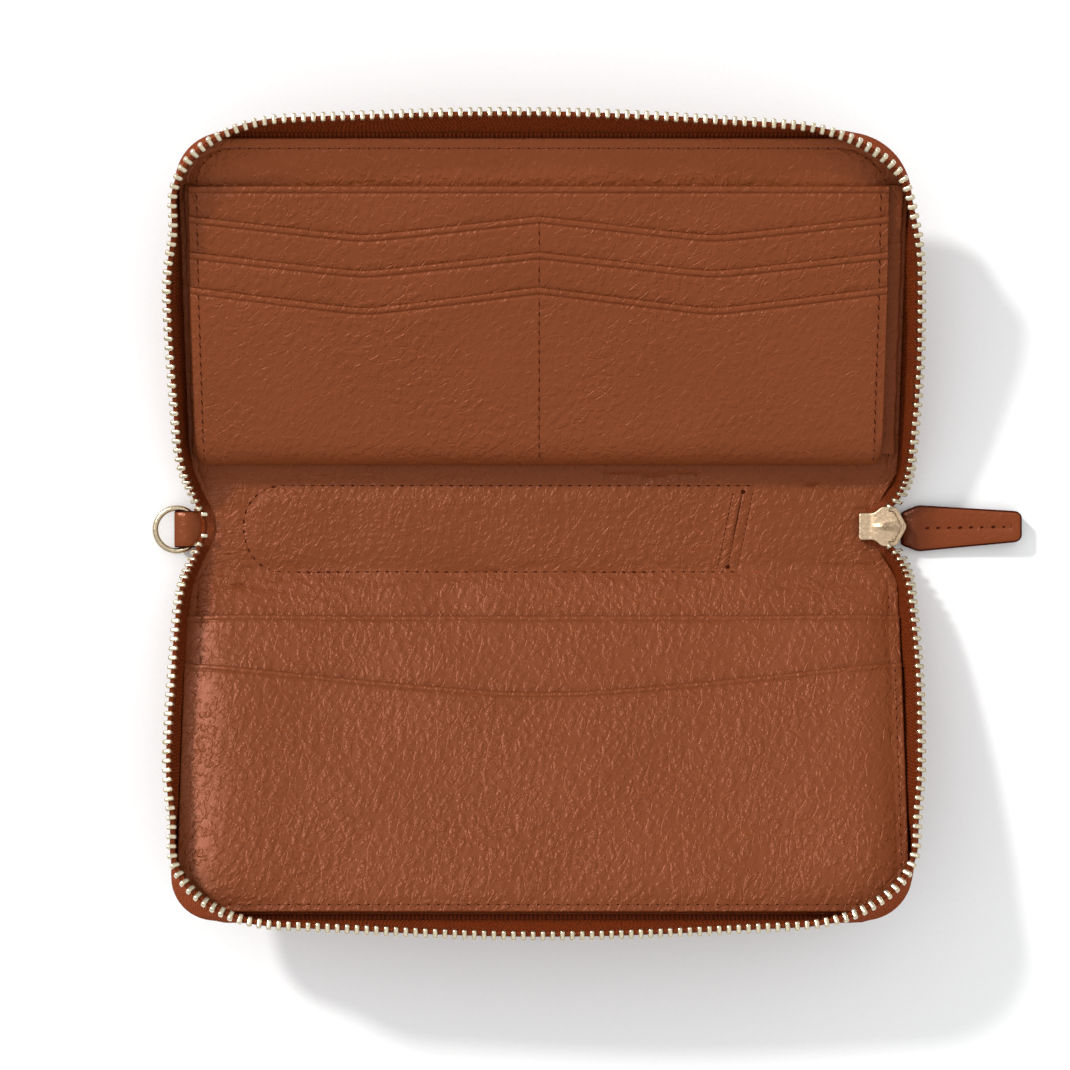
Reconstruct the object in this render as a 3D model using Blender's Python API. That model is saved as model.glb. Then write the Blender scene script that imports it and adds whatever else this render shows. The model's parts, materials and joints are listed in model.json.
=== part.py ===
"""Zip-around wallet, opened like a book and resting on its spine.

Units are metres in Blender and millimetres in the constants below. The wallet is designed flat, with the
outer leather down at z = 0, the spine along X and its two halves on either side of it in Y. Each half then
hangs on an empty on its fold line, which raises it by REST_ANGLE. The origin is the middle of the spine's
outer face.
"""

import math

import bmesh
import bpy
from mathutils import Vector

MM = 0.001

# Driving dimensions, in millimetres and degrees.
HALF_WIDTH = 97.0
FAR_EDGE = 108.0
CORNER_RADIUS = 14.0
CLOSED_THICKNESS = 25.0
FOLD_HEIGHT = 1.0
REST_ANGLE = 16.0
FIT_GAP = 0.3

# Where the two fold lines run, and how the outline narrows to a waist at the spine's ends.
FOLD_Y = CLOSED_THICKNESS / 2 - FOLD_HEIGHT
FOLD_CLEARANCE = 0.5
WAIST_FLAT = 3.0
WAIST_END = 17.0
COVER_WAIST = 7.0

# The leather, board and lining stack, outer face first.
COVER_THICKNESS = 1.2
BOARD_THICKNESS = 0.8
LINING_THICKNESS = 1.0
POCKET_THICKNESS = 0.8
BOARD_Z = COVER_THICKNESS + FIT_GAP
LINING_Z = BOARD_Z + BOARD_THICKNESS + FIT_GAP
LINING_TOP = LINING_Z + LINING_THICKNESS
LINING_HALF_WIDTH = 94.3
LINING_FAR_EDGE = 106.2
LINING_RADIUS = 13.0
LINING_NEAR_EDGE = FOLD_Y + LINING_TOP - FOLD_HEIGHT + 0.4
LINING_WAIST_LEFT = 5.7
LINING_WAIST_RIGHT = 9.8

# Full-width slip pockets of the lower half.
POCKET_HALF_WIDTH = 93.0
POCKET_FAR_EDGE = 104.9
POCKET_RADIUS = 13.0
REAR_POCKET_MOUTH = 25.5
FRONT_POCKET_MOUTH = 38.8
FRONT_POCKET_DIP = 8.1
POCKET_ROUNDING = 0.18

# Pen sleeve in the spine.
PEN_LEFT = -81.4
PEN_RIGHT = 56.5
PEN_HALF_HEIGHT = 10.7
PEN_SLIT_TOP_X = 54.1
PEN_SLIT_BOTTOM_X = 50.2
PEN_SLIT_REACH = 9.6
PEN_SLIT_WIDTH = 0.5
PEN_HOLE_RADIUS = 0.7

# Card block, hinged near the spine on the upper half.
BLOCK_HINGE_Y = 18.6
BLOCK_NEAR_EDGE = 17.8
BLOCK_FAR_EDGE = 94.0
BLOCK_LEFT = -93.5
BLOCK_RIGHT = 90.9
BLOCK_CORNER_RADIUS = 3.0
BLOCK_PANEL = 0.6
FACE_NEAR_EDGE = 19.4
ROW_NEAR_EDGE = 21.1
ROW_MOUTHS = (85.9, 76.9, 67.3)
ROW_DIP = 5.9
ROW_ROUNDING = 0.08
ROW_NAMES = ("card_row_top", "card_row_middle", "card_row_front")
GUSSET_LEAF = 0.5
GUSSET_EDGE = 94.5
GUSSET_ROOT = 2.5
GUSSET_FOLD = 0.6

# Zip: the tape wall stands on the cover and carries the teeth along its top edge.
TAPE_THICKNESS = 0.6
TAPE_INSET = 0.9
TAPE_TOP = 10.4
TEETH_LOW = 10.7
TEETH_BASE = 11.2
TEETH_TOP = CLOSED_THICKNESS / 2 - FIT_GAP
TEETH_DEPTH = 2.6
TEETH_PITCH = 2.54
RIM_START = 22.0
RIM_HALF_WIDTH = 97.6
RIM_FAR_EDGE = 111.5
RIM_CORNER_X = 38.0
RIM_CORNER_Y = 26.0
RIM_SIDE_BOW = 1.3
RIM_EDGE_BOW = 3.1
TAPE_END_REACH = 8.3

# Slider, its bail and its pull, at the right end of the spine.
SLIDER_REAR = 85.2
SLIDER_NOSE = 98.2
SLIDER_BOTTOM = 2.4
SLIDER_TOP = 6.8
SLIDER_PLATE = 0.9
SLIDER_REAR_HALF = 3.6
SLIDER_FRONT_HALF = 5.6
PULL_PIVOT_X = 96.8
PULL_PIVOT_Z = 1.2
PULL_LEATHER_START = 99.4
PULL_LEATHER_END = 129.6
PULL_LEATHER = 0.7

# D-ring in its leather loop, at the left end of the spine.
RING_WIRE = 0.8
RING_BAR_X = -96.0
RING_ARC_X = -99.6
RING_RADIUS = 5.8
RING_Z = 2.4
TAB_HALF_WIDTH = 4.45
TAB_FOLD_X = -100.3
TAB_NECK_X = -93.6
TAB_TAIL_X = -91.4
TAB_END_X = -83.6
TAB_WALL = 0.8
TAB_CAVITY_HALF = 1.15

TAN = (0.245, 0.072, 0.026)
DARK_TAN = (0.16, 0.042, 0.015)
TAPE_BROWN = (0.21, 0.055, 0.02)
GOLD = (0.76, 0.64, 0.42)
BOARD_GREY = (0.35, 0.31, 0.26)


def clear_scene():
    for obj in list(bpy.data.objects):
        bpy.data.objects.remove(obj, do_unlink=True)


def make_material(name, colour, roughness, metallic=0.0):
    material = bpy.data.materials.new(name)
    material.use_nodes = True
    shader = material.node_tree.nodes["Principled BSDF"]
    shader.inputs["Base Color"].default_value = (*colour, 1.0)
    shader.inputs["Roughness"].default_value = roughness
    shader.inputs["Metallic"].default_value = metallic
    material.diffuse_color = (*colour, 1.0)
    return material


def make_empty(name, x, y, z, parent=None):
    """An empty at a point of the flat layout. Its children keep flat-layout shapes relative to that point."""
    empty = bpy.data.objects.new(name, None)
    bpy.context.scene.collection.objects.link(empty)
    empty["flat_origin"] = (x, y, z)
    start = Vector(parent["flat_origin"]) if parent else Vector((0, 0, 0))
    empty.parent = parent
    empty.location = (Vector((x, y, z)) - start) * MM
    return empty


def link_mesh(name, mesh, parent, material):
    obj = bpy.data.objects.new(name, mesh)
    bpy.context.scene.collection.objects.link(obj)
    obj.parent = parent
    if material:
        mesh.materials.append(material)
    return obj


def finish_mesh(name, form, parent, material):
    """Turns a bmesh in flat-layout millimetres into an object under the given empty."""
    origin = Vector(parent["flat_origin"]) if parent else Vector((0, 0, 0))
    bmesh.ops.recalc_face_normals(form, faces=form.faces)
    for vert in form.verts:
        vert.co = (vert.co - origin) * MM
    mesh = bpy.data.meshes.new(name)
    form.to_mesh(mesh)
    form.free()
    return link_mesh(name, mesh, parent, material)


def slab(name, outline, bottom, top, parent, material):
    """A flat sheet: the outline in XY, filled and extruded from bottom to top."""
    form = bmesh.new()
    face = form.faces.new([form.verts.new((x, y, bottom)) for x, y in outline])
    grown = bmesh.ops.extrude_face_region(form, geom=[face])
    moved = [item for item in grown["geom"] if isinstance(item, bmesh.types.BMVert)]
    bmesh.ops.translate(form, verts=moved, vec=(0, 0, top - bottom))
    return finish_mesh(name, form, parent, material)


def side_slab(name, outline, left, right, parent, material):
    """A piece with its outline in XZ, extruded along Y from left to right."""
    form = bmesh.new()
    face = form.faces.new([form.verts.new((x, left, z)) for x, z in outline])
    grown = bmesh.ops.extrude_face_region(form, geom=[face])
    moved = [item for item in grown["geom"] if isinstance(item, bmesh.types.BMVert)]
    bmesh.ops.translate(form, verts=moved, vec=(0, right - left, 0))
    return finish_mesh(name, form, parent, material)


def cut(target, cutter):
    """Takes the cutter's shape out of the target. The cutter stays as a wire helper."""
    cutter.hide_render = True
    cutter.display_type = "WIRE"
    modifier = target.modifiers.new("cut_" + cutter.name, "BOOLEAN")
    modifier.operation = "DIFFERENCE"
    modifier.object = cutter


def smoothstep(value):
    value = min(1.0, max(0.0, value))
    return value * value * (3 - 2 * value)


def waist_x(half_width, depth, y):
    """Half-width of the outline at a distance y from the spine's middle line."""
    return half_width - depth * (1 - smoothstep((abs(y) - WAIST_FLAT) / (WAIST_END - WAIST_FLAT)))


def arc(centre_x, centre_y, radius_x, radius_y, start, end, steps):
    points = []
    for step in range(steps + 1):
        angle = math.radians(start + (end - start) * step / steps)
        points.append((centre_x + radius_x * math.cos(angle), centre_y + radius_y * math.sin(angle)))
    return points


def far_corners(half_width, far, radius, steps):
    """The two rounded corners at a sheet's far edge, right one first."""
    right = arc(half_width - radius, far - radius, radius, radius, 0, 90, steps)
    left = arc(radius - half_width, far - radius, radius, radius, 90, 180, steps)
    return right + left


def panel_outline(half_width, near, far, radius, waist_left=0.0, waist_right=0.0):
    """One half's sheet, far edge at +Y: waisted sides near the spine, rounded corners at the far edge."""
    steps = 5 if near < WAIST_END else 0
    heights = [near + (WAIST_END - near) * step / steps for step in range(steps + 1)] if steps else [near]
    right = [(waist_x(half_width, waist_right, y), y) for y in heights]
    left = [(-waist_x(half_width, waist_left, y), y) for y in reversed(heights)]
    return right + far_corners(half_width, far, radius, 8) + left


def spine_outline(half_width, reach, waist_left, waist_right):
    """The spine's sheet, waisted at both ends."""
    heights = [-reach + 2 * reach * step / 12 for step in range(13)]
    right = [(waist_x(half_width, waist_right, y), y) for y in heights]
    left = [(-waist_x(half_width, waist_left, y), y) for y in reversed(heights)]
    return right + left


def mirrored(outline):
    return [(x, -y) for x, y in outline]


def chevron(offset, rounding):
    """1 at offset 0, falling in straight lines to 0 at offsets -1 and 1, with its point rounded off."""
    return 1 - (math.hypot(offset, rounding) - rounding) / (math.hypot(1, rounding) - rounding)


def pocket_outline(mouth, dip):
    """A slip pocket with its mouth towards the spine, dipping away from it in the middle."""
    edge = []
    for step in range(25):
        offset = step / 12 - 1
        edge.append((POCKET_HALF_WIDTH * offset, mouth + dip * chevron(offset, POCKET_ROUNDING)))
    corners = far_corners(POCKET_HALF_WIDTH, POCKET_FAR_EDGE, POCKET_RADIUS, 6)
    return (edge if dip else [edge[0], edge[-1]]) + corners


def block_outline(near, far):
    """A full panel of the card block with small rounded corners next to the spine."""
    radius = BLOCK_CORNER_RADIUS
    return (
        arc(BLOCK_RIGHT - radius, near + radius, radius, radius, -90, 0, 3)
        + [(BLOCK_RIGHT, far), (BLOCK_LEFT, far)]
        + arc(BLOCK_LEFT + radius, near + radius, radius, radius, 180, 270, 3)
    )


def row_outline(near, mouth):
    """A row of two card slots: its far edge is a pair of shallow chevrons."""
    edge = []
    for step in range(33):
        share = step / 32
        offset = 2 * ((2 * share) % 1.0) - 1
        x = BLOCK_RIGHT + (BLOCK_LEFT - BLOCK_RIGHT) * share
        edge.append((x, mouth - ROW_DIP * chevron(offset, ROW_ROUNDING)))
    return [(BLOCK_LEFT, near), (BLOCK_RIGHT, near)] + edge


def rim_path():
    """Plan of the zip's edge round one half, far edge at +Y, from the right of the spine to its left.

    A box with elliptical corners whose sides and far edge bow outwards, as the slack tape does.
    Each point comes with the matching point of the cover's outline.
    """
    side = FAR_EDGE - CORNER_RADIUS
    rim_side = RIM_FAR_EDGE - RIM_CORNER_Y
    pairs = []
    for step in range(13):
        share = step / 12
        y = RIM_START + (rim_side - RIM_START) * share
        base_y = RIM_START + (side - RIM_START) * share
        pairs.append(((RIM_HALF_WIDTH, y), (HALF_WIDTH - TAPE_INSET, base_y)))
    rim_corner = arc(RIM_HALF_WIDTH - RIM_CORNER_X, rim_side, RIM_CORNER_X, RIM_CORNER_Y, 0, 90, 12)
    radius = CORNER_RADIUS - TAPE_INSET
    base_corner = arc(HALF_WIDTH - CORNER_RADIUS, side, radius, radius, 0, 90, 12)
    pairs += list(zip(rim_corner, base_corner))[1:]
    edge_end, base_end = pairs[-1]
    for step in range(1, 7):
        share = step / 6
        pairs.append(((edge_end[0] * (1 - share), edge_end[1]), (base_end[0] * (1 - share), base_end[1])))
    bowed = []
    for (x, y), base in pairs:
        side_bow = RIM_SIDE_BOW * math.sin(math.pi * (y - WAIST_END) / (RIM_FAR_EDGE - WAIST_END)) ** 2
        edge_bow = RIM_EDGE_BOW * math.cos(math.pi * x / (2 * RIM_HALF_WIDTH)) ** 2
        bowed.append(((x + side_bow * min(1.0, x / RIM_CORNER_X), y + edge_bow), base))
    left = [((-x, y), (-base_x, base_y)) for (x, y), (base_x, base_y) in reversed(bowed[:-1])]
    return bowed + left


def path_normals(points):
    """Outward unit normals of an open path that runs anticlockwise round the far side."""
    normals = []
    for index in range(len(points)):
        before = points[max(0, index - 1)]
        after = points[min(len(points) - 1, index + 1)]
        direction = Vector((after[0] - before[0], after[1] - before[1])).normalized()
        normals.append((direction.y, -direction.x))
    return normals


def loft(name, sections, parent, material):
    """Joins four-cornered sections, in order, into one closed bar."""
    form = bmesh.new()
    rings = [[form.verts.new(corner) for corner in section] for section in sections]
    for ring, following in zip(rings, rings[1:]):
        for side in range(4):
            after = (side + 1) % 4
            form.faces.new((ring[side], ring[after], following[after], following[side]))
    form.faces.new(rings[0])
    form.faces.new(rings[-1])
    return finish_mesh(name, form, parent, material)


def tape_wall(name, side, parent, material):
    """The zip tape standing round one half, from the cover up to just below the teeth."""
    pairs = rim_path()
    rim = [pair[0] for pair in pairs]
    base = [pair[1] for pair in pairs]
    half = TAPE_THICKNESS / 2
    sections = []
    rows = zip(rim, path_normals(rim), base, path_normals(base))
    for (rim_x, rim_y), rim_n, (base_x, base_y), base_n in rows:
        sections.append(
            (
                (base_x - half * base_n[0], side * (base_y - half * base_n[1]), BOARD_Z),
                (base_x + half * base_n[0], side * (base_y + half * base_n[1]), BOARD_Z),
                (rim_x + half * rim_n[0], side * (rim_y + half * rim_n[1]), TAPE_TOP),
                (rim_x - half * rim_n[0], side * (rim_y - half * rim_n[1]), TAPE_TOP),
            )
        )
    return loft(name, sections, parent, material)


def resampled(points, spacing):
    """Points at even spacing along a path, with the path's length shared out exactly."""
    lengths = [0.0]
    for first, second in zip(points, points[1:]):
        lengths.append(lengths[-1] + math.dist(first, second))
    count = 2 * round(lengths[-1] / spacing / 2)
    found = []
    segment = 0
    for step in range(count + 1):
        target = lengths[-1] * step / count
        while segment < len(points) - 2 and lengths[segment + 1] < target:
            segment += 1
        share = (target - lengths[segment]) / (lengths[segment + 1] - lengths[segment])
        first, second = points[segment], points[segment + 1]
        found.append((first[0] + (second[0] - first[0]) * share, first[1] + (second[1] - first[1]) * share))
    return found


def teeth_row(name, side, parent, material):
    """One row of teeth on its cord: every other section stands up as a tooth."""
    path = resampled([pair[0] for pair in rim_path()], TEETH_PITCH / 2)
    half = TEETH_DEPTH / 2
    sections = []
    for index, ((x, y), normal) in enumerate(zip(path, path_normals(path))):
        top = TEETH_TOP if index % 2 else TEETH_BASE
        inner = (x - half * normal[0], side * (y - half * normal[1]))
        outer = (x + half * normal[0], side * (y + half * normal[1]))
        sections.append(((*inner, TEETH_LOW), (*outer, TEETH_LOW), (*outer, top), (*inner, top)))
    return loft(name, sections, parent, material)


def build_half(prefix, side, empty, leather, board, tape, metal):
    """The pieces that both halves share. Side is +1 for the upper half and -1 for the lower one."""
    turn = mirrored if side < 0 else list
    cover = panel_outline(
        HALF_WIDTH, FOLD_Y + FOLD_CLEARANCE, FAR_EDGE, CORNER_RADIUS, COVER_WAIST, COVER_WAIST
    )
    slab(prefix + "_cover", turn(cover), 0, COVER_THICKNESS, empty, leather)
    stiffener = panel_outline(
        LINING_HALF_WIDTH - 0.5, WAIST_END, LINING_FAR_EDGE - 0.5, LINING_RADIUS
    )
    slab(prefix + "_stiffener", turn(stiffener), BOARD_Z, BOARD_Z + BOARD_THICKNESS, empty, board)
    lining = panel_outline(
        LINING_HALF_WIDTH,
        LINING_NEAR_EDGE,
        LINING_FAR_EDGE,
        LINING_RADIUS,
        LINING_WAIST_LEFT,
        LINING_WAIST_RIGHT,
    )
    slab(prefix + "_lining", turn(lining), LINING_Z, LINING_TOP, empty, leather)
    tape_wall(prefix + "_zip_tape", side, empty, tape)
    teeth_row(prefix + "_zip_teeth", side, empty, metal)


def build_slip_pockets(empty, leather):
    """Two full-width pockets on the lower half's lining, the front one with a shallow chevron mouth."""
    rear_z = LINING_TOP + FIT_GAP
    front_z = rear_z + POCKET_THICKNESS + FIT_GAP
    rear = mirrored(pocket_outline(REAR_POCKET_MOUTH, 0.0))
    front = mirrored(pocket_outline(FRONT_POCKET_MOUTH, FRONT_POCKET_DIP))
    slab("rear_slip_pocket", rear, rear_z, rear_z + POCKET_THICKNESS, empty, leather)
    slab("front_slip_pocket", front, front_z, front_z + POCKET_THICKNESS, empty, leather)


def build_card_block(empty, leather):
    """Back, face and three slot rows, stacked from the lining outwards, with a folded gusset at each side."""
    gusset_z = LINING_TOP + FIT_GAP
    back_z = gusset_z + 2 * GUSSET_LEAF + 2 * FIT_GAP
    face_z = back_z + BLOCK_PANEL + FIT_GAP
    back = block_outline(BLOCK_NEAR_EDGE, BLOCK_FAR_EDGE)
    face = block_outline(FACE_NEAR_EDGE, BLOCK_FAR_EDGE)
    slab("card_block_back", back, back_z, back_z + BLOCK_PANEL, empty, leather)
    slab("card_block_face", face, face_z, face_z + BLOCK_PANEL, empty, leather)
    for level, (name, mouth) in enumerate(zip(ROW_NAMES, ROW_MOUTHS), start=1):
        row_z = face_z + level * (BLOCK_PANEL + FIT_GAP)
        slab(name, row_outline(ROW_NEAR_EDGE, mouth), row_z, row_z + BLOCK_PANEL, empty, leather)
    for name, side in (("left_gusset", -1), ("right_gusset", 1)):
        build_gusset(name, side, gusset_z, empty, leather)


def build_gusset(name, side, bottom, empty, leather):
    """A leather bellows folded flat under the block's side: two leaves joined along an outer fold."""
    top = bottom + 2 * GUSSET_LEAF + FIT_GAP
    sections = []
    form = bmesh.new()
    fold = GUSSET_EDGE
    inner_fold = fold - GUSSET_FOLD
    root = abs(BLOCK_RIGHT if side > 0 else BLOCK_LEFT) - GUSSET_ROOT
    for y in (ROW_NEAR_EDGE, BLOCK_FAR_EDGE):
        profile = (
            (root, bottom),
            (fold, bottom),
            (fold, top),
            (root, top),
            (root, top - GUSSET_LEAF),
            (inner_fold, top - GUSSET_LEAF),
            (inner_fold, bottom + GUSSET_LEAF),
            (root, bottom + GUSSET_LEAF),
        )
        sections.append([form.verts.new((side * x, y, z)) for x, z in profile])
    near, far = sections
    for index in range(len(near)):
        after = (index + 1) % len(near)
        form.faces.new((near[index], near[after], far[after], far[index]))
    form.faces.new(near)
    form.faces.new(far)
    finish_mesh(name, form, empty, leather)


def build_spine(empty, leather, metal, tape):
    """Outer spine leather, the pen sleeve in the lining, and the sewn ends of the zip tapes."""
    cover = spine_outline(HALF_WIDTH, FOLD_Y - FOLD_CLEARANCE, COVER_WAIST, COVER_WAIST)
    slab("spine_cover", cover, 0, COVER_THICKNESS, empty, leather)
    lining_outline = spine_outline(
        LINING_HALF_WIDTH, FOLD_Y - FOLD_CLEARANCE, LINING_WAIST_LEFT, LINING_WAIST_RIGHT
    )
    lining = slab("spine_lining", lining_outline, LINING_Z, LINING_TOP, empty, leather)
    cut_pen_slit(lining, empty)
    radius = PEN_HALF_HEIGHT
    sleeve = [(PEN_SLIT_BOTTOM_X, -radius), (PEN_RIGHT, radius)]
    sleeve += arc(PEN_LEFT + radius, 0, radius, radius, 90, 270, 12)
    slab("pen_sleeve_backing", sleeve, BOARD_Z, BOARD_Z + 0.7, empty, leather)
    stop = [(81.4, -2.2), (83.8, -2.2), (83.8, 2.2), (81.4, 2.2)]
    slab("zip_bottom_stop", stop, BOARD_Z, LINING_Z - FIT_GAP, empty, metal)
    for side, label in ((-1, "lower"), (1, "upper")):
        near, far = 6.3, TAPE_END_REACH
        right = [(86.2, near), (94.6, near), (95.4, far), (87.0, far)]
        left = [(-90.0, 0.4), (-94.0, 0.4), (-95.6, far), (-91.6, far)]
        stop = [(-90.8, 2.0), (-92.4, 2.0), (-92.4, 4.0), (-90.8, 4.0)]
        right, left, stop = ([(x, side * y) for x, y in outline] for outline in (right, left, stop))
        slab(label + "_tape_end_right", right, LINING_TOP + FIT_GAP, LINING_TOP + 0.9, empty, tape)
        slab(label + "_tape_end_left", left, 4.7, 5.3, empty, tape)
        slab(label + "_zip_top_stop", stop, 5.6, 7.0, empty, metal)


def cut_pen_slit(lining, empty):
    """The pen sleeve's mouth: a slanting slit between two punched holes."""
    half = PEN_SLIT_WIDTH / 2
    reach = PEN_SLIT_REACH
    slit = [
        (PEN_SLIT_BOTTOM_X - half, -reach),
        (PEN_SLIT_BOTTOM_X + half, -reach),
        (PEN_SLIT_TOP_X + half, reach),
        (PEN_SLIT_TOP_X - half, reach),
    ]
    low, high = LINING_Z - 1, LINING_TOP + 1
    cut(lining, slab("pen_slit_cutter", slit, low, high, empty, None))
    for name, x, y in (("lower", PEN_SLIT_BOTTOM_X, -reach), ("upper", PEN_SLIT_TOP_X, reach)):
        hole = arc(x, y, PEN_HOLE_RADIUS, PEN_HOLE_RADIUS, 0, 345, 15)
        cut(lining, slab(name + "_pen_hole_cutter", hole, low, high, empty, None))


def slider_outline():
    """Plan of the slider: a narrow tail that flares to a wide, blunt nose."""
    right = [
        (SLIDER_REAR, SLIDER_REAR_HALF),
        (SLIDER_REAR + 4.4, SLIDER_REAR_HALF),
        (SLIDER_REAR + 6.8, SLIDER_FRONT_HALF),
        (SLIDER_NOSE - 3.4, SLIDER_FRONT_HALF),
        (SLIDER_NOSE - 0.9, 3.2),
        (SLIDER_NOSE, 1.2),
    ]
    return right + [(x, -y) for x, y in reversed(right)]


def build_slider(empty, metal):
    """The slider's body with its forked channel, and the bail that holds the pull."""
    body = slab("slider_body", slider_outline(), SLIDER_BOTTOM, SLIDER_TOP, empty, metal)
    low, high = SLIDER_BOTTOM + SLIDER_PLATE, SLIDER_TOP - SLIDER_PLATE
    tail_end = SLIDER_REAR + 6.6
    tail = [(SLIDER_REAR - 1, -2.6), (tail_end, -2.6), (tail_end, 2.6), (SLIDER_REAR - 1, 2.6)]
    cut(body, slab("slider_tail_cutter", tail, low, high, empty, None))
    for name, side in (("left", 1), ("right", -1)):
        fork = [(5.0, 0.2), (8.4, 1.4), (14.4, 3.4), (14.4, 8.0), (7.2, 8.0), (4.6, 2.4)]
        fork = [(SLIDER_REAR + x, side * y) for x, y in fork]
        cut(body, slab(f"slider_{name}_fork_cutter", fork, low, high, empty, None))
    rear, front, roof, sill = 7.3, 12.85, 2.1, 0.2
    hoop = [(rear, roof), (rear, sill), (front, sill), (front, roof)]
    hoop += [(front - 0.55, roof), (front - 0.55, sill + 0.45), (rear + 0.7, sill + 0.45), (rear + 0.7, roof)]
    side_slab("slider_bail", [(SLIDER_REAR + x, z) for x, z in hoop], -1.2, 1.2, empty, metal)


def build_pull(empty, metal, leather):
    """A metal link through the bail, its tongue held between two stitched leather leaves."""
    half = 0.25
    start, end, window_start, window_end = (PULL_PIVOT_X + offset for offset in (-0.4, 8.0, 0.4, 1.8))
    frame = [(start, -2.6), (end, -2.6), (end, 2.6), (start, 2.6)]
    window = [(window_start, -1.7), (window_end, -1.7), (window_end, 1.7), (window_start, 1.7)]
    link = slab("pull_link", frame, PULL_PIVOT_Z - half, PULL_PIVOT_Z + half, empty, metal)
    cut(link, slab("pull_link_window_cutter", window, 0, 3, empty, None))
    upper_edge = [(PULL_LEATHER_START, 5.0), (101.9, 6.2), (127.2, 4.3)]
    tip = arc(PULL_LEATHER_END - 2.2, 2.2, 2.2, 2.0, 80, 0, 4)
    side = upper_edge + tip
    outline = side + [(x, -y) for x, y in reversed(side)]
    gap = 0.1
    bottom = PULL_PIVOT_Z - half - gap
    top = PULL_PIVOT_Z + half + gap
    slab("pull_back_leather", outline, bottom - PULL_LEATHER, bottom, empty, leather)
    slab("pull_front_leather", outline, top, top + PULL_LEATHER, empty, leather)


def build_ring(empty, metal):
    """A round wire bent to a D: the bar runs through the leather loop."""
    corner = 1.2
    curve = bpy.data.curves.new("d_ring", "CURVE")
    curve.dimensions = "3D"
    curve.bevel_depth = RING_WIRE * MM
    curve.bevel_resolution = 2
    points = arc(RING_ARC_X, 0, RING_RADIUS, RING_RADIUS, 90, 270, 16)
    points += arc(RING_BAR_X - corner, corner - RING_RADIUS, corner, corner, -90, 0, 3)
    points += arc(RING_BAR_X - corner, RING_RADIUS - corner, corner, corner, 0, 90, 3)
    spline = curve.splines.new("POLY")
    spline.points.add(len(points) - 1)
    for point, (x, y) in zip(spline.points, points):
        point.co = ((x - RING_BAR_X) * MM, y * MM, 0, 1)
    spline.use_cyclic_u = True
    ring = bpy.data.objects.new("d_ring", curve)
    bpy.context.scene.collection.objects.link(ring)
    ring.parent = empty
    curve.materials.append(metal)


def build_ring_tab(empty, leather):
    """The leather loop round the ring's bar, with a skived tail sewn in between cover and lining."""
    outer = TAB_CAVITY_HALF + TAB_WALL
    fold_centre = TAB_FOLD_X + outer
    fold = arc(fold_centre, RING_Z, outer, outer, 270, 90, 8)
    tail_low, tail_high = BOARD_Z + 0.05, LINING_Z - 0.35
    neck = [
        (TAB_NECK_X, RING_Z + outer),
        (TAB_TAIL_X, tail_high),
        (TAB_END_X, tail_high),
        (TAB_END_X, tail_low),
        (TAB_TAIL_X, tail_low),
        (TAB_NECK_X, RING_Z - outer),
    ]
    tab = side_slab("d_ring_tab", fold + neck, -TAB_HALF_WIDTH, TAB_HALF_WIDTH, empty, leather)
    cavity = arc(fold_centre, RING_Z, TAB_CAVITY_HALF, TAB_CAVITY_HALF, 270, 90, 8)
    cavity += [(TAB_NECK_X - 1, RING_Z + TAB_CAVITY_HALF), (TAB_NECK_X - 1, RING_Z - TAB_CAVITY_HALF)]
    reach = TAB_HALF_WIDTH + 1
    cut(tab, side_slab("ring_tab_cavity_cutter", cavity, -reach, reach, empty, None))


def shade_round_pieces():
    for name in ("upper_zip_tape", "lower_zip_tape", "d_ring_tab"):
        mesh = bpy.data.objects[name].data
        mesh.shade_smooth()
        mesh.set_sharp_from_angle(angle=math.radians(40))


def build_wallet():
    clear_scene()
    leather = make_material("pebbled_leather", TAN, 0.5)
    pull_leather = make_material("smooth_leather", DARK_TAN, 0.45)
    board = make_material("bonded_board", BOARD_GREY, 0.8)
    tape = make_material("woven_tape", TAPE_BROWN, 0.85)
    metal = make_material("light_gold_metal", GOLD, 0.3, 1.0)

    spine = make_empty("spine_frame", 0, 0, 0)
    lower = make_empty("lower_fold_line", 0, -FOLD_Y, FOLD_HEIGHT)
    upper = make_empty("upper_fold_line", 0, FOLD_Y, FOLD_HEIGHT)
    block_hinge_z = LINING_TOP + 2 * GUSSET_LEAF + 3 * FIT_GAP
    block = make_empty("card_block_hinge_line", 0, BLOCK_HINGE_Y, block_hinge_z, upper)
    slider = make_empty("slider_frame", SLIDER_REAR, 0, SLIDER_TOP / 2)
    pull = make_empty("pull_pivot", PULL_PIVOT_X, 0, PULL_PIVOT_Z, slider)
    ring = make_empty("ring_pivot", RING_BAR_X, 0, RING_Z)

    build_spine(spine, leather, metal, tape)
    build_ring_tab(spine, pull_leather)
    build_half("lower", -1, lower, leather, board, tape, metal)
    build_half("upper", 1, upper, leather, board, tape, metal)
    build_slip_pockets(lower, leather)
    build_card_block(block, leather)
    build_slider(slider, metal)
    build_pull(pull, metal, pull_leather)
    build_ring(ring, metal)
    shade_round_pieces()

    lower.rotation_euler.x = -math.radians(REST_ANGLE)
    upper.rotation_euler.x = math.radians(REST_ANGLE)
    bpy.context.view_layer.update()


build_wallet()
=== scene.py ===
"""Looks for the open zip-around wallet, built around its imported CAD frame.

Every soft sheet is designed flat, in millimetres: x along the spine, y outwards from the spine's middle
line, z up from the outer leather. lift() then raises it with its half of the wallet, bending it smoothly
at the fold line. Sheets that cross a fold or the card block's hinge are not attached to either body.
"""
import json
import math

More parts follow.
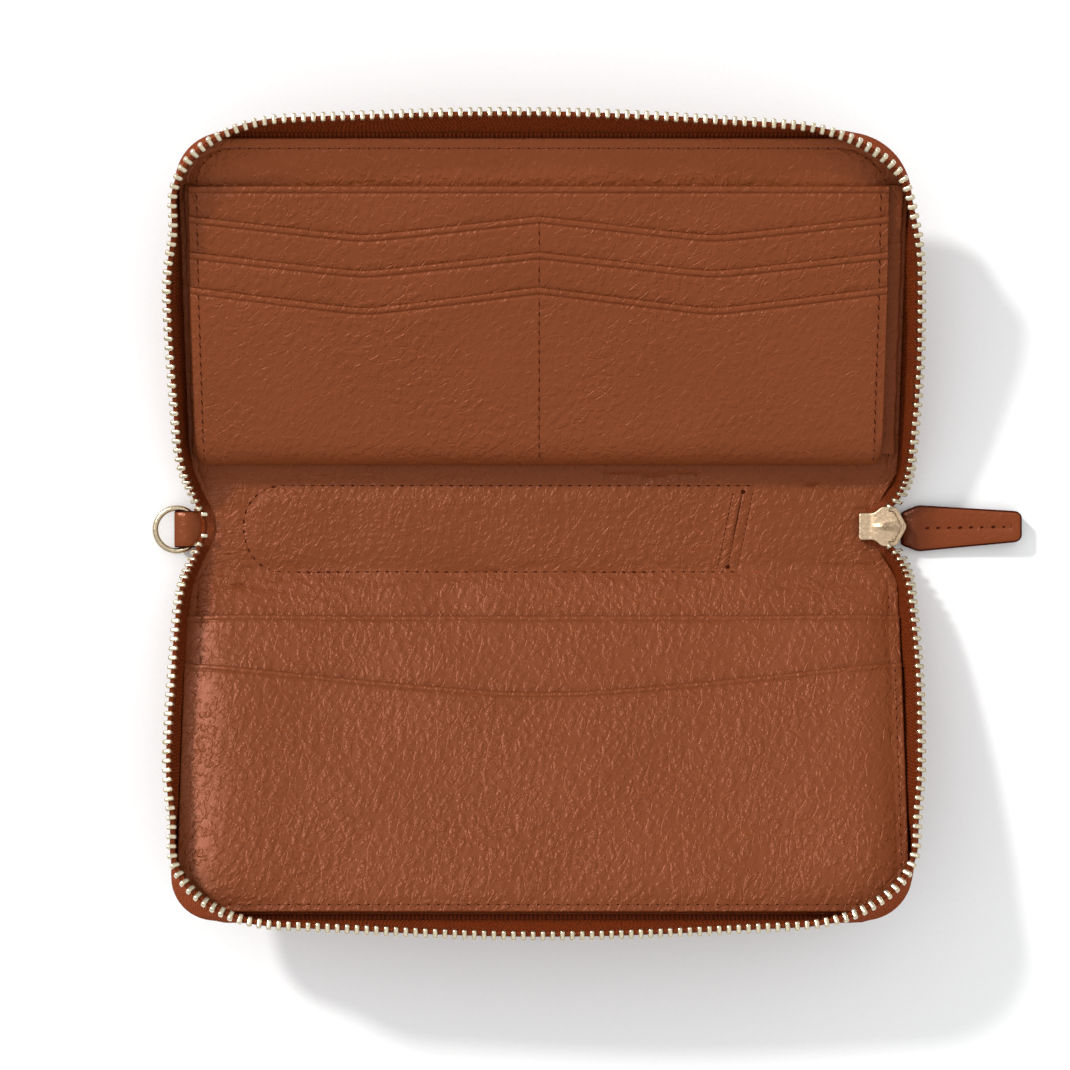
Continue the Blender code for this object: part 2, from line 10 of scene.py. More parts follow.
import bmesh
import bpy
import numpy as np
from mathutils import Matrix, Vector


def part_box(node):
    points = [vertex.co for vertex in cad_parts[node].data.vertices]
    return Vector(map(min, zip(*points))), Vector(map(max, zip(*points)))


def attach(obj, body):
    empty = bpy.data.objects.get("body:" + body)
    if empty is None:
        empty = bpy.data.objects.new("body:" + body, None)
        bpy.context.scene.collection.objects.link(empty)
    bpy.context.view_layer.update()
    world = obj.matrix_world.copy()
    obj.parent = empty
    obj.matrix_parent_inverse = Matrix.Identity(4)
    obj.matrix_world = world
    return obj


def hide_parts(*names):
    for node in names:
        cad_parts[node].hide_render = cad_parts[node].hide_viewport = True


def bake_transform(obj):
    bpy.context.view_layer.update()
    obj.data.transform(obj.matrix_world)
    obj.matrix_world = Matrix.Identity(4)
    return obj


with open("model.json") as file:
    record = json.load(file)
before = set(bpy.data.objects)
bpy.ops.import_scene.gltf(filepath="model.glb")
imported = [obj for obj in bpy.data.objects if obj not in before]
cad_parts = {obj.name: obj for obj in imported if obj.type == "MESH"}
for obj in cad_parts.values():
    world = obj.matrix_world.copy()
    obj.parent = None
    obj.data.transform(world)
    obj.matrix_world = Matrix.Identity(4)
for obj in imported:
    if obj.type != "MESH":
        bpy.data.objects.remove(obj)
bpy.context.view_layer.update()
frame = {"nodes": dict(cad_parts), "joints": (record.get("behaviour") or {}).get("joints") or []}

MM = 0.001
LOWER, UPPER = -1, 1
PREFIX = {LOWER: "lower_", UPPER: "upper_"}
FOLD = next(joint for joint in frame["joints"] if joint["name"] == "upper_fold")
FOLD_Y, FOLD_Z = (value / MM for value in FOLD["pos_m"][1:])
REST_ANGLE = math.radians(-FOLD["range_deg"][0])
BEND_REACH = 5.5  # a fold bends over this distance on each side of its line


# ------------------------ layout

def smooth(value):
    value = np.clip(value, 0.0, 1.0)
    return value * value * (3 - 2 * value)


def hump(value, middle, reach):
    return math.exp(-(((value - middle) / reach) ** 2))


def lift(points, side):
    """Flat layout (mm, y outwards) to the row frame (m), for the half on that side."""
    x, y, z = np.asarray(points, float).T
    turn = REST_ANGLE * smooth((y - FOLD_Y + BEND_REACH) / (2 * BEND_REACH))
    out, up = y - FOLD_Y, z - FOLD_Z
    raised_y = FOLD_Y + out * np.cos(turn) - up * np.sin(turn)
    raised_z = FOLD_Z + out * np.sin(turn) + up * np.cos(turn)
    return np.stack([x, side * raised_y, raised_z], axis=1) * MM


def in_place(points):
    return points * MM


def flat_box(node, side):
    """Lowest and highest corner of a CAD node in the flat layout, in mm."""
    corners = np.array([vertex.co for vertex in frame["nodes"][node].data.vertices], float) / MM
    out, up = side * corners[:, 1] - FOLD_Y, corners[:, 2] - FOLD_Z
    y = FOLD_Y + out * math.cos(REST_ANGLE) + up * math.sin(REST_ANGLE)
    z = FOLD_Z - out * math.sin(REST_ANGLE) + up * math.cos(REST_ANGLE)
    flat = np.stack([corners[:, 0], y, z], axis=1)
    return flat.min(axis=0), flat.max(axis=0)


def world_box(node):
    low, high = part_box(node)
    return np.array(low) / MM, np.array(high) / MM


# ------------------------ node materials

class Nodes:
    """Adds nodes to a shader tree and wires them up."""

    def __init__(self, tree):
        self.tree = tree

    def add(self, kind, inputs=None, **settings):
        node = self.tree.nodes.new(kind)
        for key, value in settings.items():
            setattr(node, key, value)
        for key, value in (inputs or {}).items():
            self.feed(node.inputs[key], value)
        return node

    def feed(self, socket, value):
        if hasattr(value, "is_output"):
            self.tree.links.new(value, socket)
        elif hasattr(value, "outputs"):
            self.tree.links.new(value.outputs[0], socket)
        else:
            socket.default_value = value

    def math(self, operation, first, second=0.0):
        inputs = {0: first, 1: second, 2: 0.0}
        return self.add("ShaderNodeMath", inputs, operation=operation).outputs[0]

    def times(self, first, second):
        return self.math("MULTIPLY", first, second)

    def total(self, *parts):
        height = parts[0]
        for part in parts[1:]:
            height = self.math("ADD", height, part)
        return height

    def vector(self, operation, first, second):
        key = "Scale" if operation == "SCALE" else 1
        return self.add("ShaderNodeVectorMath", {0: first, key: second}, operation=operation)

    def remap(self, value, low, high, to_low=0.0, to_high=1.0):
        inputs = {0: value, 1: low, 2: high, 3: to_low, 4: to_high}
        return self.add("ShaderNodeMapRange", inputs, interpolation_type="SMOOTHSTEP").outputs[0]

    def mix(self, share, first, second):
        node = self.add("ShaderNodeMix", {0: share, 6: first, 7: second}, data_type="RGBA")
        return node.outputs[2]

    def attribute(self, name):
        return self.add("ShaderNodeAttribute", attribute_name=name).outputs["Vector"]

    def coordinate(self, kind):
        return self.add("ShaderNodeTexCoord").outputs[kind]

    def noise(self, vector, scale, detail=2.0, rough=0.5):
        inputs = {"Vector": vector, "Scale": scale, "Detail": detail, "Roughness": rough}
        return self.add("ShaderNodeTexNoise", inputs)


class Material(Nodes):
    """A new node material, and the inputs of its shader."""

    def __init__(self, name):
        self.material = bpy.data.materials.new(name)
        self.material.use_nodes = True
        super().__init__(self.material.node_tree)
        self.shader = self.tree.nodes["Principled BSDF"]

    def set(self, socket, value):
        self.feed(self.shader.inputs[socket], value)

    def bump(self, height, depth):
        self.set("Normal", self.add("ShaderNodeBump", {"Height": height, "Distance": depth}))

    def dull_aslant(self, roughness, specular):
        """Less shine on a surface seen aslant, where its grain hides the glare of low light."""
        aslant = self.add("ShaderNodeLayerWeight", {"Blend": 0.5}).outputs["Facing"]
        self.set("Roughness", self.math("ADD", roughness, self.remap(aslant, *ASLANT, 0.0, ASLANT_DULLER)))
        self.set("Specular IOR Level", self.remap(aslant, *ASLANT, specular, specular * ASLANT_SPECULAR))
        self.set("Specular Tint", SHINE)


def srgb(red, green, blue):
    """0-255 screen values to a linear colour."""
    channels = [value / 255 for value in (red, green, blue)]
    linear = [c / 12.92 if c <= 0.04045 else ((c + 0.055) / 1.055) ** 2.4 for c in channels]
    return (*linear, 1.0)


def scaled(colour, share):
    return tuple(channel * share for channel in colour[:3]) + (1.0,)


SHINE = (1.0, 0.43, 0.3, 1.0)
ASLANT = (0.12, 0.5)  # facing value where leather starts to look duller, and where it is at its dullest
ASLANT_DULLER, ASLANT_SPECULAR = 0.42, 0.15
# Heights of the leather's relief, as shares of LEATHER_DEPTH (in metres).
CREASE, DOME, WRINKLE, PORES, CRUMPLE = 0.55, 0.2, 0.16, 0.17, 3.2
LEATHER_DEPTH = 0.00021
PALE, CREASE_HIGHLIGHT = 0.94, 1.55  # the hide's colour in its clouds, and its painted highlight along the creases
TAPE_RIB, TAPE_PICK, TAPE_ZIGZAG = 0.9, 0.55, 1.1  # the weave's repeats, in mm


def crumple(n, flat, spots):
    """Fine wrinkles that run along x round the given spots (x, y, reach in mm), as a height."""
    mask = 0.0
    for x, y, reach in spots:
        level = n.vector("MULTIPLY", n.vector("SUBTRACT", flat, (x, y, 0.0)), (1.0, 1.0, 0.0))
        away = n.add("ShaderNodeVectorMath", {0: level}, operation="LENGTH").outputs["Value"]
        mask = n.math("MAXIMUM", mask, n.remap(away, reach * 0.3, reach, 1.0, 0.0))
    folds = n.noise(n.vector("MULTIPLY", flat, (0.2, 0.8, 0.0)), 1.0, 3.0, 0.6).outputs[0]
    return n.times(folds, mask)


def drifted(n, vector, where, scale, reach):
    """The vector, pushed about by up to half of reach."""
    centred = n.vector("SUBTRACT", n.noise(where, scale).outputs["Color"], (0.5, 0.5, 0.5))
    return n.vector("ADD", vector, n.vector("SCALE", centred, reach))


def cell_edges(n, vector, width, length, angle):
    """Distance from the edges of long, irregular cells."""
    turned = n.add("ShaderNodeMapping", {"Vector": vector, "Rotation": (0, 0, math.radians(angle))})
    sized = n.vector("MULTIPLY", turned, (1 / width, 1 / length, 1 / length))
    settings = {"feature": "DISTANCE_TO_EDGE", "voronoi_dimensions": "2D"}
    return n.add("ShaderNodeTexVoronoi", {"Vector": sized, "Scale": 1.0}, **settings).outputs["Distance"]


def leather(name, colour, grain=1.0, cell=(2.7, 7.2), angle=20.0, roughness=0.34, seed=0.0, spots=(),
            painted_shading=None):
    """Pebbled leather: long cells between fine creases that come and go, small wrinkles in them, and pores.

    The sheen is tinted like the hide, so that the creases facing the light glint in its own colour, and the
    colour
    itself is lightened along the creases as a painted highlight. The last argument is (axis, start, end, from,
    to):
    the colour is multiplied by a share that changes along that axis, as painted light or shade.
    """
    n = Material(name)
    flat = n.attribute("flat")
    shifted = n.vector("ADD", flat, (seed, seed * 1.7, seed * 0.6))
    bent = drifted(n, drifted(n, shifted, shifted, 0.05, 7.0), shifted, 0.45, 0.9)
    long_edges = cell_edges(n, bent, *cell, angle)
    small_edges = cell_edges(n, bent, cell[0] * 0.38, cell[1] * 0.3, angle + 26)
    presence = n.remap(n.noise(shifted, 0.5), 0.42, 0.62, 0.04, 1.0)
    broad = n.remap(n.noise(shifted, 0.035, 1.0), 0.3, 0.7, 0.7, 1.15)
    strength = n.times(presence, broad)
    pores = n.noise(flat, 3.4, 3.0, 0.7).outputs[0]
    heights = [
        n.times(n.remap(long_edges, 0.0, 0.1), n.times(strength, CREASE)),
        n.times(n.remap(long_edges, 0.0, 0.5), DOME),
        n.times(n.remap(small_edges, 0.0, 0.22), n.times(strength, WRINKLE)),
        n.times(pores, PORES),
    ]
    if spots:
        heights.append(n.times(crumple(n, flat, spots), CRUMPLE))
    n.bump(n.total(*heights), LEATHER_DEPTH * grain)

    tint = n.mix(n.remap(n.noise(flat, 0.03, 3.0), 0.3, 0.7), scaled(colour, PALE), colour)
    # Painted highlight: the colour is lightened along the crease lines, standing in for glints on their sides.
    along_crease = n.remap(long_edges, 0.0, 0.055, 1.0, 0.0)
    painted_crease_highlight = n.times(along_crease, n.times(strength, 0.5 * grain))
    coloured = n.mix(painted_crease_highlight, tint, scaled(colour, CREASE_HIGHLIGHT))
    # Painted light or shade: the colour is scaled along one axis.
    if painted_shading:
        axis, *limits = painted_shading
        place = n.add("ShaderNodeSeparateXYZ", {0: flat}).outputs["XYZ".index(axis)]
        coloured = n.vector("SCALE", coloured, n.remap(place, *limits))
    n.set("Base Color", coloured)
    n.dull_aslant(n.remap(pores, 0.3, 0.7, roughness - 0.05, roughness + 0.07), 0.38)
    return n.material


def plain_fibre(name, colour, roughness, fineness=2500):
    """Thread, board and painted edges: one colour with a fibrous noise."""
    n = Material(name)
    fibres = n.noise(n.coordinate("Object"), fineness, 3.0, 0.65).outputs[0]
    n.set("Base Color", n.mix(fibres, scaled(colour, 0.7), colour))
    n.bump(fibres, 0.00008)
    n.dull_aslant(roughness, 0.15)
    return n.material


def woven_tape(name, colour, outer):
    """Herringbone tape. "weave" runs along it in x and across it in y, in mm; z is 1 on its outer face. The
    inner face takes a darker copy of the tape's colour as painted shade, the outer face a lighter one as
    painted light.
    """
    n = Material(name)
    where = n.attribute("weave")
    weave = n.add("ShaderNodeSeparateXYZ", {0: where})
    along = n.math("ADD", weave.outputs[0], n.math("PINGPONG", weave.outputs[1], TAPE_ZIGZAG))
    rib = n.math("SINE", n.times(along, 2 * math.pi / TAPE_RIB))
    pick = n.math("SINE", n.times(weave.outputs[1], 2 * math.pi / TAPE_PICK))
    fuzz = n.noise(where, 1.1)
    height = n.total(rib, n.times(pick, 0.6), n.times(fuzz, 3.2))
    share = n.remap(height, 0.2, 3.0)
    # Painted shade and light: a darker copy of the tape's colour inside, a lighter one outside.
    shaded_inner_colour = n.mix(share, scaled(colour, 0.45), scaled(colour, 1.35))
    lit_outer_colour = n.mix(share, scaled(outer, 0.5), scaled(outer, 1.3))
    n.set("Base Color", n.mix(n.remap(weave.outputs[2], 0.2, 0.8), shaded_inner_colour, lit_outer_colour))
    n.bump(height, 0.00007)
    n.dull_aslant(0.8, 0.2)
    return n.material


def gold(name, colour, roughness, brushed=0.0, speckle=0.3):
    """Pale gold plate, satin, with faint brushing and wear."""
    n = Material(name)
    where = n.coordinate("Object")
    streak = n.noise(n.vector("MULTIPLY", where, (300.0, 2600.0, 2600.0)), 1.0, 3.0, 0.6)
    speck = n.noise(where, 1500.0, 3.0, 0.6)
    n.set("Metallic", 1.0)
    n.set("Base Color", n.mix(n.remap(speck, 0.35, 0.65), scaled(colour, 0.85), colour))
    n.set("Roughness", n.remap(speck, 0.3, 0.7, roughness - 0.06, roughness + 0.1))
    n.bump(n.total(n.times(streak, brushed), n.times(speck, speckle)), 0.00002)
    return n.material


SADDLE = srgb(117, 59, 30)
PULL_BROWN = srgb(112, 52, 24)
WAIST_SPOTS = ((-88.0, -9.0, 15.0), (-87.0, 11.0, 9.0), (-94.0, -24.0, 12.0), (88.0, 6.0, 8.0),
               (87.0, -7.0, 7.0))
MATERIALS = {
    # Painted light: the upper lining grows up to 1.42 times lighter towards its far edge.
    "lining": leather("pebbled_lining", SADDLE, spots=WAIST_SPOTS, painted_shading=("Y", 60.0, 102.0, 1.0, 1.42)),
    "front": leather("pebbled_front_pocket", scaled(SADDLE, 0.965), seed=31.0),
    "cover": leather("pebbled_cover", SADDLE, grain=1.1, cell=(2.4, 3.6), angle=12.0, seed=77.0),
    "rear": leather("pebbled_rear_pocket", scaled(SADDLE, 0.98), grain=0.9, seed=53.0),
    "block": leather("soft_grain_block", scaled(SADDLE, 1.08), grain=0.95, cell=(2.6, 5.6), angle=38.0,
                     seed=11.0),
    "tab": leather("smooth_tab", SADDLE, grain=0.3, cell=(2.0, 2.6), roughness=0.24, seed=5.0),
    # Painted shade: the pull is darker at its root, under the slider.
    "pull": leather("smooth_pull", PULL_BROWN, grain=0.35, cell=(2.0, 3.0), angle=60.0, seed=9.0,
                    painted_shading=("X", 99.0, 110.0, 0.6, 1.05)),
    "edge": plain_fibre("painted_edge", srgb(62, 18, 6), 0.5),
    "thread": plain_fibre("bonded_thread", srgb(124, 64, 36), 0.7, 4000),
    # Needle holes, the pen sleeve's slit and its punched hole: dark pieces painted as the shade inside them.
    "hole": plain_fibre("needle_hole_shade", srgb(60, 20, 6), 0.95),
    "board": plain_fibre("bonded_board", srgb(150, 135, 115), 0.9),
    # The tape's inner face colour is its painted shade, the outer face colour its painted light.
    "tape": woven_tape("herringbone_tape", srgb(116, 49, 21), srgb(142, 68, 38)),
    "gold": gold("pale_gold", (0.76, 0.66, 0.48, 1.0), 0.22),
    "ring": gold("aged_gold", (0.60, 0.49, 0.33, 1.0), 0.2, speckle=0.06),
    "satin_gold": gold("satin_gold", (0.62, 0.45, 0.29, 1.0), 0.3, 1.6),
}
# A map from the gold materials to the record's slot light_gold_metal, made and not kept.
dict.fromkeys(("gold", "ring", "satin_gold"), "light_gold_metal")


# ------------------------ mesh helpers

class Soup:
    """Collects points, faces, material slots and attributes for one piece, in millimetres.

    With a side, it is designed in that half's flat layout. Without one, it already lies in the row frame.
    """

    def __init__(self, side=None):
        self.place = in_place if side is None else lambda points: lift(points, side)
        self.side = side or UPPER
        self.points, self.faces, self.slots, self.weave = [], [], [], []
        self.count = 0

    def add(self, points, faces, slot=0, weave=None):
        points = np.asarray(points, float).reshape(-1, 3)
        self.points.append(points)
        weave = np.zeros_like(points) if weave is None else np.asarray(weave, float).reshape(-1, 3)
        self.weave.append(weave)
        self.faces += [[index + self.count for index in face] for face in faces]
        self.slots += [slot] * len(faces)
        self.count += len(points)

    def add_solid(self, points, faces, walls, slot, edge_slot, painted=None, weave=None):
        """Adds a closed solid. Its walls take edge_slot, and so do the faces that painted is true for."""
        first = self.count
        edge_slot = slot if edge_slot is None else edge_slot
        self.add(points, faces, slot, weave)
        if painted is not None:
            self.slots[-len(faces) :] = [edge_slot if on_edge else slot for on_edge in painted]
        self.faces += [[index + first for index in wall] for wall in walls]
        self.slots += [edge_slot] * len(walls)

    def piece(self, name, materials, replaces, body=None, sharp=40.0):
        """Makes the object and hides the CAD parts it stands for. A piece with no body is left unattached."""
        points = np.concatenate(self.points)
        mesh = bpy.data.meshes.new(name)
        mesh.from_pydata(self.place(points).tolist(), [], self.faces)
        for key in materials:
            mesh.materials.append(MATERIALS[key])
        mesh.polygons.foreach_set("material_index", self.slots)
        flat = points * np.array([1.0, self.side, 1.0])
        for key, values in (("flat", flat), ("weave", np.concatenate(self.weave))):
            layer = mesh.attributes.new(key, "FLOAT_VECTOR", "POINT")
            layer.data.foreach_set("vector", values.astype(np.float32).ravel())
        form = bmesh.new()
        form.from_mesh(mesh)
        bmesh.ops.recalc_face_normals(form, faces=form.faces)
        form.to_mesh(mesh)
        form.free()
        mesh.shade_smooth()
        mesh.set_sharp_from_angle(angle=math.radians(sharp))
        obj = bpy.data.objects.new(name, mesh)
        bpy.context.scene.collection.objects.link(obj)
        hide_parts(*replaces)
        if body:
            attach(obj, body)
        return obj


def double_sided(rows, columns):
    """Faces and walls of a closed solid between two grids, front grid's points first, and the grid's rim."""
    total = rows * columns
    faces = []
    for r in range(rows - 1):
        for c in range(columns - 1):
            a = r * columns + c
            faces.append((a, a + 1, a + 1 + columns, a + columns))
    faces += [[index + total for index in reversed(face)] for face in faces]
    ring = list(range(columns))
    ring += [r * columns + columns - 1 for r in range(1, rows)]
    ring += [(rows - 1) * columns + c for c in range(columns - 2, -1, -1)]
    ring += [r * columns for r in range(rows - 2, 0, -1)]
    walls = [(b, a, a + total, b + total) for a, b in zip(ring, ring[1:] + ring[:1])]
    return faces, walls, ring


def spaced(length, fine, step, extra=()):
    """Distances from 0 to length: the fine ones at both ends, even steps between, and any extra ones."""
    fine = [d for d in fine if d < length * 0.45]
    start, end = fine[-1], length - fine[-1]
    count = max(2, int(round((end - start) / step)))
    middle = [start + (end - start) * i / count for i in range(1, count)]
    found = fine + middle + [length - d for d in reversed(fine)]
    if len(extra):
        low, high = min(extra), max(extra)
        found = [d for d in found if d < low - 0.05 or d > high + 0.05] + list(extra)
    return np.array(sorted(found))


# Distances from an edge where a sheet's grid has a line, close enough for its rounding, groove and hem.
EDGE_STEPS = [0.0, 0.05, 0.15, 0.3, 0.5, 0.75, 1.0, 1.2, 1.4, 1.6, 1.85, 2.2, 2.5, 2.7, 2.9, 3.3, 4.0,
              5.0, 6.4]
RIPPLE_WAVES, RIPPLE_LENGTHS, RIPPLE_HEIGHT = 9, (10, 44), 0.05
THINNEST = 0.06


def ripple(x, y, seed, size):
    """Gentle, repeatable unevenness, in mm, from a few crossing waves."""
    rng = np.random.default_rng(seed)
    total = np.zeros_like(x)
    for _ in range(RIPPLE_WAVES):
        length = rng.uniform(*RIPPLE_LENGTHS)
        angle = rng.uniform(0, math.pi)
        phase = rng.uniform(0, 2 * math.pi)
        along = x * math.cos(angle) + y * math.sin(angle)
        total = total + np.sin(along * 2 * math.pi / length + phase) * length / RIPPLE_LENGTHS[1]
    return size * RIPPLE_HEIGHT * total


def path_distance(points, path, closed):
    """Distance of each 2-D point from a polyline."""
    a, b = (path, np.roll(path, -1, axis=0)) if closed else (path[:-1], path[1:])
    run = b - a
    squared = np.maximum((run**2).sum(axis=1), 1e-12)
    best = np.full(len(points), 1e9)
    batch = 4000
    for start in range(0, len(points), batch):
        to = points[start : start + batch, None, :] - a[None, :, :]
        share = np.clip((to * run[None]).sum(axis=2) / squared[None], 0, 1)
        gap = np.hypot(*(to - share[..., None] * run[None]).transpose(2, 0, 1))
        best[start : start + batch] = gap.min(axis=1)
    return best


def rounded(d, radius):
    """How far a rounded edge has dropped at distance d inside it."""
    inside = np.maximum(0.0, radius - d)
    return radius - np.sqrt(np.maximum(0.0, radius**2 - inside**2))


def groove(distance, width, depth):
    """A rounded groove along the line where distance is 0."""
    return -depth * np.exp(-((distance / width) ** 2))


def lip_roll(gap, middle, width, height):
    """A turned lip's soft roll, highest at its middle."""
    return height * np.exp(-(((gap - middle) / width) ** 2))


def level(value):
    return lambda x: np.full_like(np.asarray(x, float), value)


def through(stations):
    """A function of x that runs straight from each (x, value) to the next."""
    xs, ys = zip(*stations)
    return lambda x: np.interp(np.asarray(x, float), xs, ys)


def rounded_edge(middle, half, edge, radii, outwards=1.0):
    """A panel's long edge with a rounded left and right corner, as a function of x."""

    def line(x):
        offset = np.asarray(x, float) - middle
        radius = np.where(offset > 0, radii[1], radii[0])
        across = np.clip(np.abs(offset) - (half - radius), 0, radius)
        return edge - outwards * (radius - np.sqrt(np.maximum(0.0, radius**2 - across**2)))

    return line


def sheet_rows(x, near, far, step, open_near):
    """y of each row of a sheet's grid, fine next to its edges."""
    lengths = far(x) - near(x)
    fine = [d for d in EDGE_STEPS if d < lengths.min() * 0.45]
    start = [0.0] if open_near else fine
    count = max(2, int(round((lengths.max() - start[-1] - fine[-1]) / step)))
    first, last = near(x) + start[-1], far(x) - fine[-1]
    rows = [near(x) + d for d in start]
    rows += [first + (last - first) * i / count for i in range(1, count)]
    rows += [far(x) - d for d in reversed(fine)]
    return np.array(rows)


def sheet(soup, left, right, near, far, low, top, edge_slot=None, step=2.6, sides=None, radius=0.35,
          shape=None, open_near=False, seed=1, wobble=1.0, extra_x=(), drop_low=False, border=0.0):
    """A leather panel as a closed solid with rounded edges, added to the soup.

    near and far give its long edges as functions of x, and sides gives (left, right) as functions of y.
    shape(x, y, gaps) adds to the top's height, where gaps holds the distance from each edge. With open_near
    the near edge isn't rounded, because another sheet carries on there. With drop_low the underside follows
    the same shape. Faces closer to the edge than border take edge_slot. Returns the height of the top near
    a point.
    """
    x_flat = left + spaced(right - left, EDGE_STEPS, step, [x - left for x in extra_x])
    y = sheet_rows(x_flat, near, far, step, open_near)
    x = np.tile(x_flat, (len(y), 1))
    if sides:
        low_x, high_x = sides(y)
        x = low_x + (x - left) / (right - left) * (high_x - low_x)
    faces, walls, ring = double_sided(*x.shape)
    grid = np.stack([x.ravel(), y.ravel()], axis=1)
    outline = grid[ring]
    if open_near:
        outline = np.concatenate([outline[x.shape[1] - 1 :], outline[:1]])
    edge = path_distance(grid, outline, closed=not open_near).reshape(x.shape)
    gaps = {"edge": edge, "far": far(x_flat)[None, :] - y, "near": y - near(x_flat)[None, :],
            "left": x - left, "right": right - x}
    extra = shape(x, y, gaps) if shape else np.zeros_like(x)
    uneven = ripple(x, soup.side * y, seed, wobble) * smooth(edge / 6)
    z_top = top - rounded(edge, radius) + uneven + extra
    z_low = low + rounded(edge, min(radius, (top - low) / 2))
    if drop_low:
        z_low = z_low + extra
    z_low = np.minimum(z_low, z_top - THINNEST)
    points = np.concatenate([np.stack([x, y, z], axis=-1).reshape(-1, 3) for z in (z_top, z_low)])
    painted = np.tile(((edge[:-1, :-1] + edge[1:, 1:]) / 2 < border).ravel(), 2) if border else None
    soup.add_solid(points, faces, walls, 0, edge_slot, painted)

    def height(px, py):
        return z_top.ravel()[np.argmin((grid[:, 0] - px) ** 2 + (grid[:, 1] - py) ** 2)]

    return height


def ribbon(soup, grid, thickness, weave=None, edge_slot=None, border=0):
    """A closed solid round a grid of centre points, (rows, columns, 3). border columns take edge_slot."""
    grid = np.asarray(grid, float)
    along_rows = np.gradient(grid, axis=0)
    along_columns = np.gradient(grid, axis=1)
    normal = np.cross(along_columns, along_rows)
    normal /= np.maximum(np.linalg.norm(normal, axis=2, keepdims=True), 1e-9)
    half = np.broadcast_to(np.asarray(thickness, float), grid.shape[:2])[..., None] / 2
    points = np.concatenate([(grid + normal * half).reshape(-1, 3), (grid - normal * half).reshape(-1, 3)])
    faces, walls, _ = double_sided(*grid.shape[:2])
    if weave is not None:
        weave = np.concatenate([weave.reshape(-1, 3), weave.reshape(-1, 3) + (0, 0, 1.0)])
    painted = None
    if border:
        columns = np.arange(grid.shape[1] - 1)
        painted = (columns < border) | (columns >= len(columns) - border)
        painted = np.tile(painted, 2 * (grid.shape[0] - 1))
    soup.add_solid(points, faces, walls, 0, edge_slot, painted, weave)


def faces_round(rows, sides, closed=False):
    """Faces of a tube of rows, each with that many sides."""
    faces = []
    for r in range(rows if closed else rows - 1):
        here, after = r * sides, (r + 1) % rows * sides
        for s in range(sides):
            t = (s + 1) % sides
            faces.append((here + s, here + t, after + t, after + s))
    return faces


def tube(soup, path, radius, sides, closed=False, slot=0):
    """A round wire along a path of points."""
    path = np.asarray(path, float)
    ahead = np.roll(path, -1, axis=0) - np.roll(path, 1, axis=0)
    if not closed:
        ahead[0], ahead[-1] = path[1] - path[0], path[-1] - path[-2]
    ahead /= np.linalg.norm(ahead, axis=1, keepdims=True)
    across = np.cross(ahead, (0.0, 0.0, 1.0))
    across /= np.linalg.norm(across, axis=1, keepdims=True)
    upward = np.cross(across, ahead)
    turn = np.linspace(0, 2 * math.pi, sides, endpoint=False)
    spokes = across[:, None] * np.cos(turn)[None, :, None] + upward[:, None] * np.sin(turn)[None, :, None]
    faces = faces_round(len(path), sides, closed)
    if not closed:
        faces.append(list(range(sides)))
        faces.append([(len(path) - 1) * sides + s for s in reversed(range(sides))])
    soup.add(path[:, None] + spokes * radius, faces, slot)


def circle_arc(centre_x, centre_y, radius_x, radius_y, start, end, steps):
    turn = np.radians(np.linspace(start, end, steps + 1))
    return [(centre_x + radius_x * math.cos(t), centre_y + radius_y * math.sin(t)) for t in turn]


def smooth_path(points, passes=3):
    points = np.array(points, float)
    for _ in range(passes):
        points[1:-1] = points[1:-1] * 0.5 + (points[:-2] + points[2:]) * 0.25
    return points


def distances(points):
    """How far along a polyline each of its points is."""
    return np.concatenate([[0.0], np.cumsum(np.linalg.norm(np.diff(points, axis=0), axis=1))])


def resampled(points, spacing):
    """Evenly spaced points along a polyline of any dimension."""
    points = np.asarray(points, float)
    reach = distances(points)
    targets = np.linspace(0, reach[-1], int(round(reach[-1] / spacing)) + 1)
    return np.stack([np.interp(targets, reach, column) for column in points.T], axis=1)


# ------------------------ stitches

THREAD, HOLE_SHADE = 1, 2  # material slots of every stitched piece: thread, and the needle holes' painted shade
SMALL_HOLE = (0.8, 0.3)
HEM_PITCH = 2.62


def evenly(points, pitch):
    """Points and unit directions at even steps along a polyline."""
    points = np.asarray(points, float)
    steps = np.linalg.norm(np.diff(points, axis=0), axis=1)
    reach = distances(points)
    count = max(1, int(round(reach[-1] / pitch)))
    found = []
    for i in range(count):
        target = reach[-1] * (i + 0.5) / count
        k = min(len(steps) - 1, max(0, int(np.searchsorted(reach, target)) - 1))
        share = (target - reach[k]) / steps[k]
        direction = (points[k + 1] - points[k]) / steps[k]
        found.append((points[k] * (1 - share) + points[k + 1] * share, direction))
    return found


def pill(length, width, height, rings=6, sides=8):
    """A long, flattened bead along x."""
    points, faces = [(-length / 2, 0, 0)], []
    for r in range(1, rings):
        angle = math.pi * r / rings
        x, size = -math.cos(angle) * length / 2, math.sin(angle) ** 0.6
        for s in range(sides):
            turn = 2 * math.pi * s / sides
            points.append((x, math.cos(turn) * size * width / 2, math.sin(turn) * size * height / 2))
    points.append((length / 2, 0, 0))
    for s in range(sides):
        t = (s + 1) % sides
        faces.append((0, 1 + t, 1 + s))
        for r in range(rings - 2):
            a, b = 1 + r * sides + s, 1 + r * sides + t
            faces.append((a, b, b + sides, a + sides))
        faces.append((len(points) - 1, len(points) - 1 - sides + s, len(points) - 1 - sides + t))
    return np.array(points), faces


